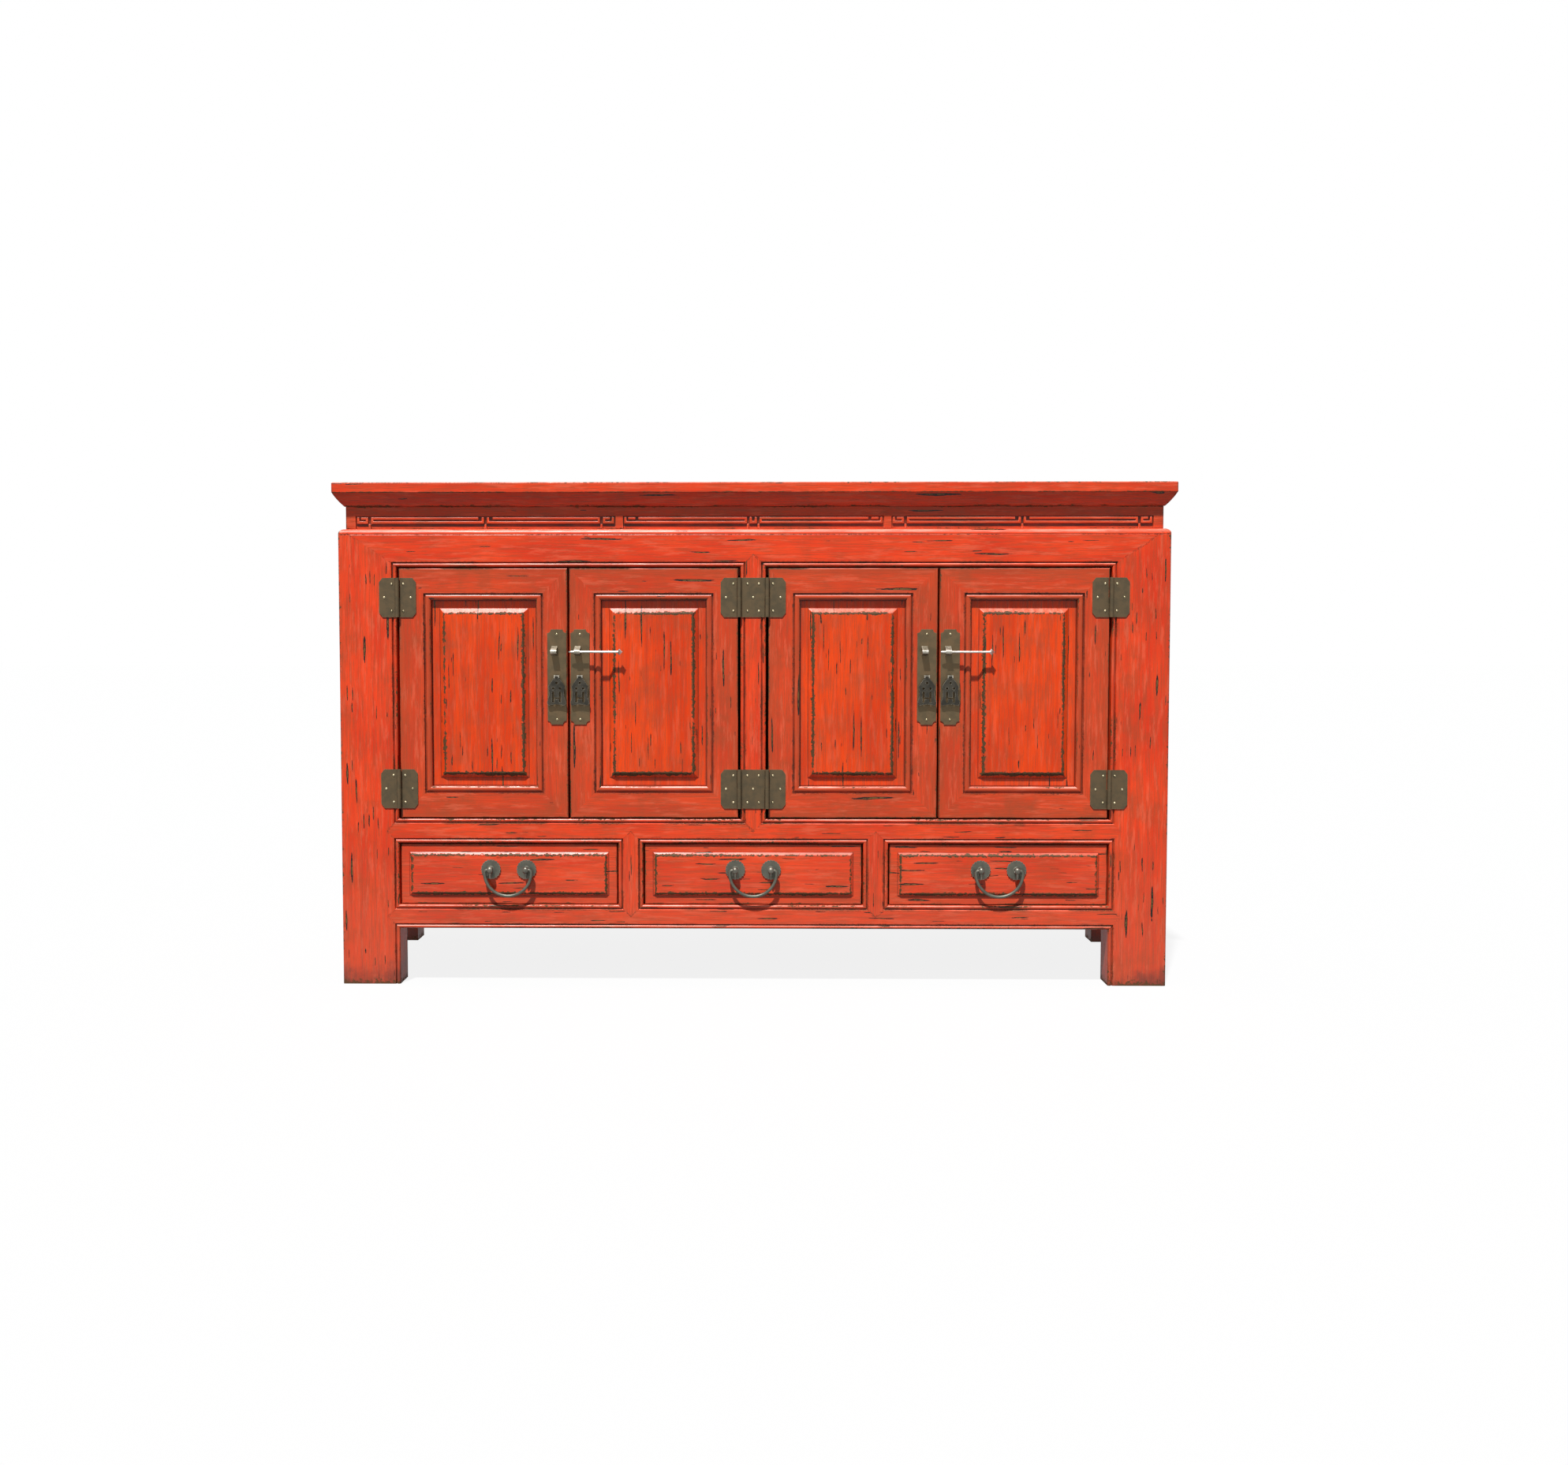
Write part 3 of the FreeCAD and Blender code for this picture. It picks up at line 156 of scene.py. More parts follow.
# Cracks: cells across and along the grain, the share that cracks, and the cracks' reach in a cell
LONG_CRACK_SHARE = 0.85
SHORT_CRACK_SHARE = 0.45
SHORT_CRACK_CELLS = (110.0, 9.0)
SHORT_CRACK_REACH = (0.06, 0.15)
RAGGED_REACH = (0.006, 0.030, 0.0)

# Wear, dirt and painted shade, in metres: each pair is where a layer is full and where it ends
SIDE_WEAR = (0.0004, 0.0020)
ARRIS_RADIUS = 0.005
FIELD_LINE = (0.0003, 0.0012)
FIELD_STRAY = 0.016
FIELD_FOOT_RISE = 0.004
# How much wider the field line runs along its foot, as wear and painted shade
FIELD_FOOT_WEAR_AND_SHADE = 2.2
# Painted shade: the dark line in the crease at a field's foot
FIELD_FOOT_SHADE_LINE = (0.0003, 0.0013)
FIELD_FOOT_SHADE_SHARE = 0.5
LEDGE_LINE = (0.0004, 0.0010)
LEDGE_STRAY = 0.006
SCUFF_HEIGHTS = (0.001, 0.008)
SCUFF_STRAY = 0.05
SCUFF_SHARE = 0.9
SOIL_HEIGHTS = (0.0, 0.34)
SOIL_STRAY = 0.3
SOIL_SHARE = 0.36
STAIN_HEIGHTS = (-0.005, 0.045)
STAIN_STRAY = 0.16
STAIN_SHARE = 0.75
GLAZE_WIDTH = (-0.002, 0.022)
GLAZE_STRAY = 0.06
GROOVE_CLEAR = (0.0045, 0.0060)
# Painted shade where a panel meets its frame
SIGHT_SHADE_WIDTH = 0.0035
SIGHT_SHADE_SHARE = 0.85
METAL_RIM_RADIUS = 0.0012

# Gloss and relief
LACQUER_ROUGH = (0.24, 0.40)
WEAR_ROUGH = 0.35
LACQUER_GLOSS = (0.28, 0.04)
LACQUER_BUMP = (0.40, 0.0006)
BARE_ROUGH = (0.62, 0.80)
BARE_BUMP = (0.5, 0.0006)
METAL_ROUGH_RANGE = 0.2
METAL_BUMP = (0.25, 0.0003)
BEVEL_SAMPLES = 4
SQUARE_ON = 0.7


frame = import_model()
nodes = frame["nodes"]


# Small helpers for node trees
class Tree:
    def __init__(self, name):
        self.material = bpy.data.materials.new(name)
        self.material.use_nodes = True
        self.nodes = self.material.node_tree.nodes
        self.links = self.material.node_tree.links
        self.shader = self.nodes["Principled BSDF"]

    def put(self, socket, value):
        if isinstance(value, bpy.types.NodeSocket):
            self.links.new(value, socket)
        else:
            socket.default_value = value

    def math(self, kind, a, b=0.0, clamp=False):
        node = self.nodes.new("ShaderNodeMath")
        node.operation = kind
        node.use_clamp = clamp
        self.put(node.inputs[0], a)
        self.put(node.inputs[1], b)
        return node.outputs[0]

    def both(self, a, b):
        return self.math("MULTIPLY", a, b)

    def either(self, a, b):
        return self.math("MAXIMUM", a, b)

    def apart(self, a, b):
        return self.math("ABSOLUTE", self.math("SUBTRACT", a, b))

    def sway(self, pattern, reach):
        """A pattern centred on nought and scaled to a reach."""
        return self.both(self.math("SUBTRACT", pattern, 0.5), reach)

    def vector(self, kind, a, b):
        node = self.nodes.new("ShaderNodeVectorMath")
        node.operation = kind
        self.put(node.inputs[0], a)
        self.put(node.inputs[1], b)
        return node.outputs["Value"] if kind == "DOT_PRODUCT" else node.outputs["Vector"]

    def noise(self, place, scale, detail=3.0, roughness=0.55, distortion=0.0):
        node = self.nodes.new("ShaderNodeTexNoise")
        self.put(node.inputs["Vector"], place)
        self.put(node.inputs["Scale"], scale)
        self.put(node.inputs["Detail"], detail)
        self.put(node.inputs["Roughness"], roughness)
        self.put(node.inputs["Distortion"], distortion)
        return node

    def pattern(self, place, scale, *form):
        return self.noise(place, scale, *form).outputs["Fac"]

    def cells(self, place):
        node = self.nodes.new("ShaderNodeTexVoronoi")
        node.voronoi_dimensions = "2D"
        self.put(node.inputs["Vector"], place)
        self.put(node.inputs["Scale"], 1.0)
        return node

    def span(self, value, low, high, out_low=0.0, out_high=1.0):
        node = self.nodes.new("ShaderNodeMapRange")
        node.interpolation_type = "SMOOTHSTEP"
        self.put(node.inputs["Value"], value)
        self.put(node.inputs["From Min"], low)
        self.put(node.inputs["From Max"], high)
        self.put(node.inputs["To Min"], out_low)
        self.put(node.inputs["To Max"], out_high)
        return node.outputs["Result"]

    def fade(self, value, ends, share=1.0):
        """The whole share up to the first end, nothing from the second on."""
        return self.span(value, ends[0], ends[1], share, 0.0)

    def blend(self, share, a, b):
        node = self.nodes.new("ShaderNodeMix")
        node.data_type = "RGBA"
        self.put(node.inputs["Factor"], share)
        for name, value in (("A", a), ("B", b)):
            socket = [s for s in node.inputs if s.name == name and s.type == "RGBA"][0]
            self.put(socket, value if isinstance(value, bpy.types.NodeSocket) else tuple(value) + (1.0,))
        return [s for s in node.outputs if s.type == "RGBA"][0]

    def coordinate(self, name):
        return self.nodes.new("ShaderNodeTexCoord").outputs[name]

    def place(self, stretch=(1.0, 1.0, 1.0)):
        """Object coordinates, shifted for each board by its own number."""
        shift = self.vector("MULTIPLY", self.attribute("board"), BOARD_SHIFT)
        where = self.vector("ADD", self.coordinate("Object"), shift)
        return self.vector("MULTIPLY", where, stretch)

    def attribute(self, name):
        node = self.nodes.new("ShaderNodeAttribute")
        node.attribute_name = name
        return node.outputs["Vector"]

    def inset(self):
        """Distance on this face to the nearest side of the board's own box."""
        where = self.parts(self.coordinate("Object"))
        facing = self.parts(self.coordinate("Normal"))
        middle = self.parts(self.attribute("middle"))
        half = self.parts(self.attribute("half"))
        nearest = None
        for axis in range(3):
            room = self.math("SUBTRACT", half[axis], self.apart(where[axis], middle[axis]))
            square_on = self.math("GREATER_THAN", self.math("ABSOLUTE", facing[axis]), SQUARE_ON)
            room = self.math("ADD", room, square_on)
            nearest = room if nearest is None else self.math("MINIMUM", nearest, room)
        return nearest

    def edge(self, radius):
        """How near a point is to an arris: 0 on flat faces, more towards the edge."""
        soft = self.nodes.new("ShaderNodeBevel")
        soft.samples = BEVEL_SAMPLES
        soft.inputs["Radius"].default_value = radius
        true = self.nodes.new("ShaderNodeNewGeometry")
        dot = self.vector("DOT_PRODUCT", soft.outputs["Normal"], true.outputs["True Normal"])
        return self.math("SUBTRACT", 1.0, dot, clamp=True)

    def parts(self, vector):
        node = self.nodes.new("ShaderNodeSeparateXYZ")
        self.links.new(vector, node.inputs[0])
        return node.outputs

    def flat_place(self, axis):
        """Distance across the grain and along it, on whichever face of the board this is."""
        where = self.parts(self.place())
        facing = self.parts(self.coordinate("Normal"))
        b, c = [number for number in range(3) if number != axis]
        facing_b = self.math("ABSOLUTE", facing[b])
        facing_c = self.math("ABSOLUTE", facing[c])
        turned = self.math("GREATER_THAN", facing_b, facing_c)
        step = self.both(turned, self.math("SUBTRACT", where[c], where[b]))
        across = self.math("ADD", where[b], step)
        flat = self.nodes.new("ShaderNodeCombineXYZ")
        self.links.new(across, flat.inputs[0])
        self.links.new(where[axis], flat.inputs[1])
        return flat.outputs[0]

    def bump(self, height, strength, distance):
        node = self.nodes.new("ShaderNodeBump")
        node.inputs["Strength"].default_value = strength
        node.inputs["Distance"].default_value = distance
        self.links.new(height, node.inputs["Height"])
        self.links.new(node.outputs["Normal"], self.shader.inputs["Normal"])


def along(axis, share):
    """A stretch that lengthens a pattern along one axis."""
    return tuple(share if number == axis else 1.0 for number in range(3))


# A lacquered board: the measures and patterns that its layers share
class Board(Tree):
    def __init__(self, kind, axis):
        super().__init__("lacquer_" + kind + "_" + "xyz"[axis])
        self.axis = axis
        where = self.coordinate("Object")
        self.spot = self.parts(where)
        self.facing = self.parts(self.coordinate("Normal"))
        self.shifted = self.place()
        self.from_side = self.inset()
        grain = self.place(along(axis, GRAIN_STRETCH))
        self.broad = self.pattern(where, BROAD_SCALE)
        self.thin = self.pattern(where, THIN_SCALE, 5.0, 0.62)
        self.figure = self.pattern(grain, FIGURE_SCALE, 4.0, 0.6, 0.5)
        self.streak = self.pattern(grain, STREAK_SCALE, 4.0, 0.65)
        self.chalk = self.pattern(self.place(along(axis, CHALK_STRETCH)), CHALK_SCALE, 4.0, 0.7)
        self.jag = self.pattern(self.shifted, JAG_SCALE, 5.0, 0.72)
        self.broken = self.pattern(self.shifted, BROKEN_SCALE)


# Tones that run on from board to board, the grain of each board, and a painted highlight on upper sides
# that face the front
def red_tones(b, reds, brown, chalky, glazed, pale):
    tone = b.math("ADD", b.both(b.broad, 0.5), b.both(b.figure, 0.5))
    colour = b.blend(b.span(tone, 0.38, 0.60), reds[0], reds[1])
    colour = b.blend(b.span(b.thin, 0.46, 0.72, brown, brown + 0.55), colour, RED_BROWN)
    colour = b.blend(b.fade(b.streak, (0.38, 0.56), 0.55), colour, RED_BROWN)
    colour = b.blend(b.span(b.chalk, 0.50, 0.66, 0.0, chalky), colour, RED_PALE)
    glaze = b.math("ADD", b.from_side, b.sway(b.thin, GLAZE_STRAY))
    colour = b.blend(b.fade(glaze, GLAZE_WIDTH, glazed), colour, RED_BROWN)
    upper = b.both(b.span(b.facing[2], 0.22, 0.50), b.fade(b.facing[2], (0.80, 0.97)))
    upper = b.both(upper, b.fade(b.facing[1], (-0.35, -0.10)))
    # Painted highlight: upper sides that face the front are paled as if lit
    rubbed_and_highlight = b.both(upper, b.span(b.chalk, 0.40, 0.62, 0.25 * pale, 0.85 * pale))
    return b.blend(rubbed_and_highlight, colour, RED_PAINTED_HIGHLIGHT)


# One set of cracks: long cells across and along the grain, some of them chosen
def crack_set(b, flat, cells, chosen_share, reach):
    cell = b.cells(b.vector("MULTIPLY", flat, (cells[0], cells[1], 1.0)))
    pick = b.nodes.new("ShaderNodeSeparateColor")
    b.links.new(cell.outputs["Color"], pick.inputs["Color"])
    chosen = b.math("GREATER_THAN", pick.outputs[0], 1.0 - chosen_share)
    width = b.span(pick.outputs[1], 0.0, 1.0, reach[0], reach[1])
    depth = b.fade(b.math("DIVIDE", cell.outputs["Distance"], width), (0.0, 1.0))
    return b.both(depth, chosen)


# Dark cracks along the grain: long ones all over, short ones gathered in places
def crack_depth(b, cracked, cells, reach):
    ragged = b.noise(b.place(along(b.axis, RAGGED_STRETCH)), RAGGED_SCALE, 4.0).outputs["Color"]
    ragged = b.vector("MULTIPLY", b.vector("SUBTRACT", ragged, (0.5, 0.5, 0.5)), RAGGED_REACH)
    flat = b.vector("ADD", b.flat_place(b.axis), ragged)
    long_cracks = crack_set(b, flat, cells, LONG_CRACK_SHARE * cracked, reach)
    short_cracks = crack_set(b, flat, SHORT_CRACK_CELLS, SHORT_CRACK_SHARE * cracked, SHORT_CRACK_REACH)
    gather = b.span(b.pattern(b.shifted, GATHER_SCALE, 2.0), 0.48, 0.56)
    depth = b.either(long_cracks, b.both(short_cracks, gather))
    return b.both(depth, b.span(b.jag, 0.36, 0.60, 0.4, 1.0))


# A broken line of wear round a raised field, wider along its foot, where it is painted shade as well as
# wear
def field_line(b, rim, field_wear):
    patchy = b.span(b.pattern(b.shifted, FIELD_WEAR_SCALE), 0.36, 0.56, 0.0, field_wear)
    half = b.parts(b.attribute("half"))
    middle = b.parts(b.attribute("middle"))
    rise = b.math("ADD", b.spot[2], b.math("SUBTRACT", half[2], middle[2]))
    # Wear and painted shade: the line widens over the field's lower, downward-facing side
    foot = b.fade(rise, (rim, rim + FIELD_FOOT_RISE), field_wear * FIELD_FOOT_WEAR_AND_SHADE)
    foot = b.both(foot, b.span(b.broken, 0.36, 0.58, 0.25, 1.0))
    off = b.math("ADD", b.apart(b.from_side, rim), b.sway(b.jag, FIELD_STRAY))
    return b.fade(b.math("SUBTRACT", off, b.either(patchy, foot)), FIELD_LINE)


# A broken line of wear along a level edge, kept off faces that look up
def ledge_line(b, height):
    off = b.math("ADD", b.apart(b.spot[2], height), b.sway(b.jag, LEDGE_STRAY))
    line = b.both(b.fade(off, LEDGE_LINE), b.span(b.broken, 0.40, 0.50, 0.15, 0.9))
    return b.both(line, b.fade(b.facing[2], (0.4, 0.8)))


# Worn sides and arrises, lines round fields and ledges, and scuffed feet
def worn_places(b, field, field_wear, ledges, ragged_edge, arris_wear):
    gate = b.span(b.broken, 0.40, 0.56)
    near = b.math("ADD", b.from_side, b.sway(b.jag, ragged_edge))
    wear = b.both(b.fade(near, SIDE_WEAR), gate)
    arris = b.both(b.span(b.edge(ARRIS_RADIUS), 0.02, 0.09), b.span(b.jag, 0.48, 0.54))
    wear = b.either(wear, b.both(arris, b.both(gate, arris_wear)))
    if field:
        wear = b.either(wear, field_line(b, field[1], field_wear))
    for height in ledges:
        wear = b.either(wear, ledge_line(b, height))
    low = b.math("ADD", b.spot[2], b.sway(b.jag, SCUFF_STRAY))
    return b.either(wear, b.fade(low, SCUFF_HEIGHTS, SCUFF_SHARE))


# Soil up the lower part and a dark stain at the feet
def soiled(b, colour):
    soil = b.math("ADD", b.spot[2], b.sway(b.thin, SOIL_STRAY))
    colour = b.blend(b.fade(soil, SOIL_HEIGHTS, SOIL_SHARE), colour, SOIL)
    stain = b.math("ADD", b.spot[2], b.sway(b.thin, STAIN_STRAY))
    return b.blend(b.fade(stain, STAIN_HEIGHTS, STAIN_SHARE), colour, STAIN)


# Grime and painted shade in the grooves, and painted shade along the fields' foot and where a panel meets
# its frame
def grimy_and_shaded(b, colour, face, groove, grime, field, sight):
    if groove:
        # Grime and painted shade: darker down in each groove, in patches
        deep = b.math("SUBTRACT", b.spot[1], face)
        inside = b.span(deep, groove * 0.35, groove * 0.95)
        inside = b.both(inside, b.fade(deep, (groove * 1.4, groove * 1.6)))
        inside = b.both(inside, b.span(b.from_side, GROOVE_CLEAR[0], GROOVE_CLEAR[1]))
        patchy = b.span(b.pattern(b.shifted, GRIME_AND_SHADE_SCALE), 0.34, 0.62, grime * 0.6, grime)
        colour = b.blend(b.both(inside, patchy), colour, SOOT_AND_SHADE)
    if field:
        # Painted shade: a dark line in the crease at each field's foot
        foot = b.apart(b.from_side, field[0])
        colour = b.blend(b.fade(foot, FIELD_FOOT_SHADE_LINE, FIELD_FOOT_SHADE_SHARE), colour, SOOT_AND_SHADE)
    if sight:
        # Painted shade: a dark band where the panel runs in under its frame
        shade = b.fade(b.from_side, (sight, sight + SIGHT_SHADE_WIDTH), SIGHT_SHADE_SHARE)
        colour = b.blend(shade, colour, SOOT_AND_SHADE)
    return colour


# Worn red lacquer over grained wood; a kind of board says where its grooves and fields lie
def lacquer(kind, axis, face=FRONT_FACE, groove=None, field=None, sight=None, ledges=(),
            brown=0.0, glazed=0.15, ragged_edge=0.012, field_wear=0.0019, grime=0.7, pale=1.0,
            reds=(RED_DEEP, RED_BRIGHT), chalky=0.36, cracked=1.0, arris_wear=1.0,
            crack_cells=(46.0, 2.5), crack_reach=(0.04, 0.13)):
    b = Board(kind, axis)
    depth = crack_depth(b, cracked, crack_cells, crack_reach)
    crack = b.span(depth, 0.06, 0.16)
    wear = worn_places(b, field, field_wear, ledges, ragged_edge, arris_wear)
    colour = soiled(b, red_tones(b, reds, brown, chalky, glazed, pale))
    colour = b.blend(crack, colour, b.blend(b.span(depth, 0.42, 0.70), SOOT_AND_SHADE, OLIVE))
    colour = b.blend(wear, colour, b.blend(b.span(b.jag, 0.46, 0.62), UMBER, SOOT_AND_SHADE))
    colour = grimy_and_shaded(b, colour, face, groove, grime, field, sight)
    b.put(b.shader.inputs["Base Color"], colour)
    rough = b.span(b.streak, 0.3, 0.7, LACQUER_ROUGH[0], LACQUER_ROUGH[1])
    b.put(b.shader.inputs["Roughness"], b.math("ADD", rough, b.both(wear, WEAR_ROUGH)))
    sideways = b.math("ABSOLUTE", b.facing[0])
    gloss = b.span(sideways, 0.5, 0.9, LACQUER_GLOSS[0], LACQUER_GLOSS[1])
    b.put(b.shader.inputs["Specular IOR Level"], gloss)
    relief = b.math("ADD", b.both(b.streak, 0.30), b.both(b.figure, 0.35))
    relief = b.math("SUBTRACT", relief, b.both(crack, 0.9))
    relief = b.math("SUBTRACT", relief, b.both(wear, 0.5))
    b.bump(relief, LACQUER_BUMP[0], LACQUER_BUMP[1])
    return b.material


# Bare brown wood of the inside
def plain_wood(axis):
    t = Tree("bare_wood_" + "xyz"[axis])
    grain = t.place(along(axis, BARE_GRAIN_STRETCH))
    figure = t.pattern(grain, BARE_FIGURE_SCALE, 5.0, 0.6, 0.7)
    streak = t.pattern(grain, BARE_STREAK_SCALE, 4.0, 0.65)
    stain = t.pattern(t.place(), BARE_STAIN_SCALE, 4.0)
    colour = t.blend(t.span(figure, 0.36, 0.64), WOOD_DARK, WOOD_LIGHT)
    colour = t.blend(t.fade(streak, (0.42, 0.60), 0.45), colour, WOOD_STREAK)
    colour = t.blend(t.span(stain, 0.50, 0.72, 0.0, 0.35), colour, WOOD_STAIN)
    t.put(t.shader.inputs["Base Color"], colour)
    t.put(t.shader.inputs["Roughness"], t.span(streak, 0.3, 0.7, BARE_ROUGH[0], BARE_ROUGH[1]))
    t.bump(t.math("ADD", streak, figure), BARE_BUMP[0], BARE_BUMP[1])
    return t.material


# Aged metal, with darker blotches, fine speckle and rubbed edges
def aged_metal(name, body, blotch, rubbed_and_highlight, rubbed_share, roughness, metallic):
    t = Tree(name)
    place = t.place()
    cloud = t.pattern(place, CLOUD_SCALE, 5.0, 0.6)
    speck = t.pattern(place, SPECK_SCALE, 3.0, 0.7)
    scratch = t.pattern(t.place(SCRATCH_STRETCH), SCRATCH_SCALE, 2.0)
    colour = t.blend(t.span(cloud, 0.36, 0.62), blotch, body)
    colour = t.blend(t.span(speck, 0.50, 0.66, 0.0, 0.25), colour, blotch)
    rim = t.both(t.span(t.edge(METAL_RIM_RADIUS), 0.03, 0.22), t.span(cloud, 0.30, 0.55))
    colour = t.blend(t.both(rim, rubbed_share), colour, rubbed_and_highlight)
    t.put(t.shader.inputs["Base Color"], colour)
    t.shader.inputs["Metallic"].default_value = metallic
    uneven = t.math("ADD", cloud, t.both(scratch, 0.4))
    t.put(t.shader.inputs["Roughness"], t.span(uneven, 0.4, 0.9, roughness, roughness + METAL_ROUGH_RANGE))
    t.bump(t.math("ADD", cloud, t.both(speck, 0.35)), METAL_BUMP[0], METAL_BUMP[1])
    return t.material


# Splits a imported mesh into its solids: a solid ends where no edge is left open
def solids_of(mesh):
    keys = [tuple(round(c, WELD_DIGITS) for c in vertex.co) for vertex in mesh.vertices]
    solids = []
    faces = []
    loose = set()
    for polygon in mesh.polygons:
        corners = [keys[k] for k in polygon.vertices]
        faces.append(corners)
        for number, corner in enumerate(corners):
            after = corners[(number + 1) % len(corners)]
            if (after, corner) in loose:
                loose.discard((after, corner))
            else:
                loose.add((corner, after))
        if not loose:
            solids.append(faces)
            faces = []
    if faces:
        solids.append(faces)
    return solids


def box_of(faces):
    """Middle and half size of a solid's own box."""
    low = Vector(min(corner[axis] for face in faces for corner in face) for axis in range(3))
    high = Vector(max(corner[axis] for face in faces for corner in face) for axis in range(3))
    return (low + high) / 2, (high - low) / 2


def by_length(half):
    """The grain runs along the longest side of a board."""
    return list(half).index(max(half))


def one_only(half):
    return 0


def big_or_small(limit):
    """The first material for solids taller than the limit, the second for the rest."""
    return lambda half: 0 if half.z > limit else 1


def on_mitre(edge):
    """A joint cut at 45 degrees stays tight, so its edges aren't softened."""
    run = edge.verts[1].co - edge.verts[0].co
    least, between, most = sorted(abs(step) for step in run)
    level = least < MITRE_FLAT * most
    slanted = abs(between - most) < MITRE_EVEN * most
    return most > MITRE_LEAST and level and slanted


# One solid as a mesh of its own, welded, with its arrises softened
def softened(faces, bevel, keeps_mitres):
    piece = bmesh.new()
    points = {}
    for face in faces:
        for corner in face:
            if corner not in points:
                points[corner] = piece.verts.new(corner)
        corners = [points[corner] for corner in face]
        if len(set(corners)) > 2 and not piece.faces.get(corners):
            piece.faces.new(corners)
    bmesh.ops.dissolve_limit(piece, angle_limit=FLAT_ANGLE, verts=piece.verts, edges=piece.edges)
    sharp = [e for e in piece.edges if len(e.link_faces) == 2 and e.calc_face_angle() > SHARP_ANGLE]
    steps = BEVEL_STEPS
    if bevel == FRET_BEVEL:
        sharp = [e for e in sharp if e.is_convex]
        steps = FRET_BEVEL_STEPS
    if keeps_mitres:
        sharp = [e for e in sharp if not on_mitre(e)]
    bmesh.ops.bevel(piece, geom=sharp, offset=bevel, segments=steps, profile=0.5,
                    affect="EDGES", clamp_overlap=True)
    bmesh.ops.triangulate(piece, faces=[f for f in piece.faces if len(f.verts) > 4])
    return piece


# A dressed copy of a CAD node: each solid softened, its grain along its length
def dressed(name, materials, pick, bevel):
    source = nodes[name]
    mesh = bpy.data.meshes.new("dressed_" + name)
    for material in materials:
        mesh.materials.append(material)
    whole = bmesh.new()
    marks = [whole.verts.layers.float_vector.new(key) for key in ("board", "middle", "half")]
    chance = random.Random(name)
    for faces in solids_of(source.data):
        middle, half = box_of(faces)
        board = Vector((chance.random(), chance.random(), chance.random()))
        solid = softened(faces, bevel, pick is by_length)
        copies = {vertex: whole.verts.new(vertex.co) for vertex in solid.verts}
        for copy in copies.values():
            for mark, value in zip(marks, (board, middle, half)):
                copy[mark] = value
        for face in solid.faces:
            made = whole.faces.new([copies[vertex] for vertex in face.verts])
            made.material_index = pick(half)
            made.smooth = True
        solid.free()
    whole.to_mesh(mesh)
    whole.free()
    mesh.set_sharp_from_angle(angle=SMOOTH_ANGLE)
    piece = bpy.data.objects.new("dressed_" + name, mesh)
    bpy.context.scene.collection.objects.link(piece)
    level = piece.modifiers.new("level_faces", "WEIGHTED_NORMAL")
    level.keep_sharp = True
    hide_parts(name)
    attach(piece, source["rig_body"])


# The finishes, and the kinds of lacquered board that have grooves, fields or a fret
def lacquers(kind, **places):
    return [lacquer(kind, axis, **places) for axis in range(3)]


plain_lacquer = lacquers("plain")
wood_kinds = {
    "rail_front_top": (lacquers("top_rail", groove=BEAD_GROOVE, grime=0.85, brown=-0.25, pale=0.75,
                                cracked=0.6), WOOD_BEVEL),
    "leg_front": (lacquers("front", groove=BEAD_GROOVE, grime=0.85, ragged_edge=0.022, pale=0.75,
                           crack_cells=(52.0, 4.2), crack_reach=(0.05, 0.16)), WOOD_BEVEL),
    "rail_front": (lacquers("rail", groove=BEAD_GROOVE, grime=0.85, ragged_edge=0.022, cracked=0.7,
                            crack_cells=(85.0, 4.5), crack_reach=(0.05, 0.13)), WOOD_BEVEL),
    "waist_front": (lacquers("fret", face=WAIST_FACE, groove=FRET_GROUND, grime=0.85, cracked=0.3,
                             arris_wear=0.2, brown=0.3), FRET_BEVEL),
    "door_panel": (lacquers("door_panel", field=DOOR_FIELD, sight=DOOR_PANEL_SIGHT, glazed=0.4,
                            pale=0.45, reds=(FIELD_DEEP, FIELD_BRIGHT), chalky=0.22, cracked=0.8,
                            crack_cells=(85.0, 3.0), crack_reach=(0.06, 0.15)), WOOD_BEVEL),
    "door_frame": (lacquers("door_frame", groove=DOOR_QUIRK, brown=0.32, glazed=0.5,
                            cracked=0.6), WOOD_BEVEL),
    "drawer_front": (lacquers("drawer", field=DRAWER_FIELD, glazed=0.3, field_wear=0.0012, pale=0.3,
                              crack_cells=(80.0, 5.0), crack_reach=(0.05, 0.16)), WOOD_BEVEL),
    "top_frame": (lacquers("top_frame", ledges=LIP_EDGES, cracked=0.2, brown=-0.15), WOOD_BEVEL),
}
wood_kinds["front_stiles"] = wood_kinds["rail_front"]
bare_woods = [plain_wood(axis) for axis in range(3)]
brass = aged_metal("plate_brass", body=(0.120, 0.084, 0.045), blotch=(0.092, 0.070, 0.040),
                   rubbed_and_highlight=(0.42, 0.34, 0.18), rubbed_share=0.45, roughness=0.42, metallic=0.75)
# Painted light: a lighter copy of the plate brass, making up for the shade that falls on the lock plates
lock_brass = aged_metal("lock_brass", body=(0.142, 0.096, 0.050), blotch=(0.110, 0.081, 0.044),
                        rubbed_and_highlight=(0.42, 0.34, 0.18), rubbed_share=0.45, roughness=0.42, metallic=0.75)
bronze = aged_metal("pull_bronze", body=(0.125, 0.122, 0.096), blotch=(0.095, 0.095, 0.076),
                    rubbed_and_highlight=(0.50, 0.46, 0.37), rubbed_share=0.7, roughness=0.36, metallic=0.75)
drop_bronze = aged_metal("drop_bronze", body=(0.060, 0.053, 0.040), blotch=(0.034, 0.031, 0.024),
                         rubbed_and_highlight=(0.55, 0.50, 0.40), rubbed_share=0.9, roughness=0.36, metallic=0.75)
steel = aged_metal("pin_steel", body=(0.66, 0.64, 0.60), blotch=(0.40, 0.38, 0.34),
                   rubbed_and_highlight=(0.85, 0.84, 0.80), rubbed_share=0.5, roughness=0.26, metallic=1.0)
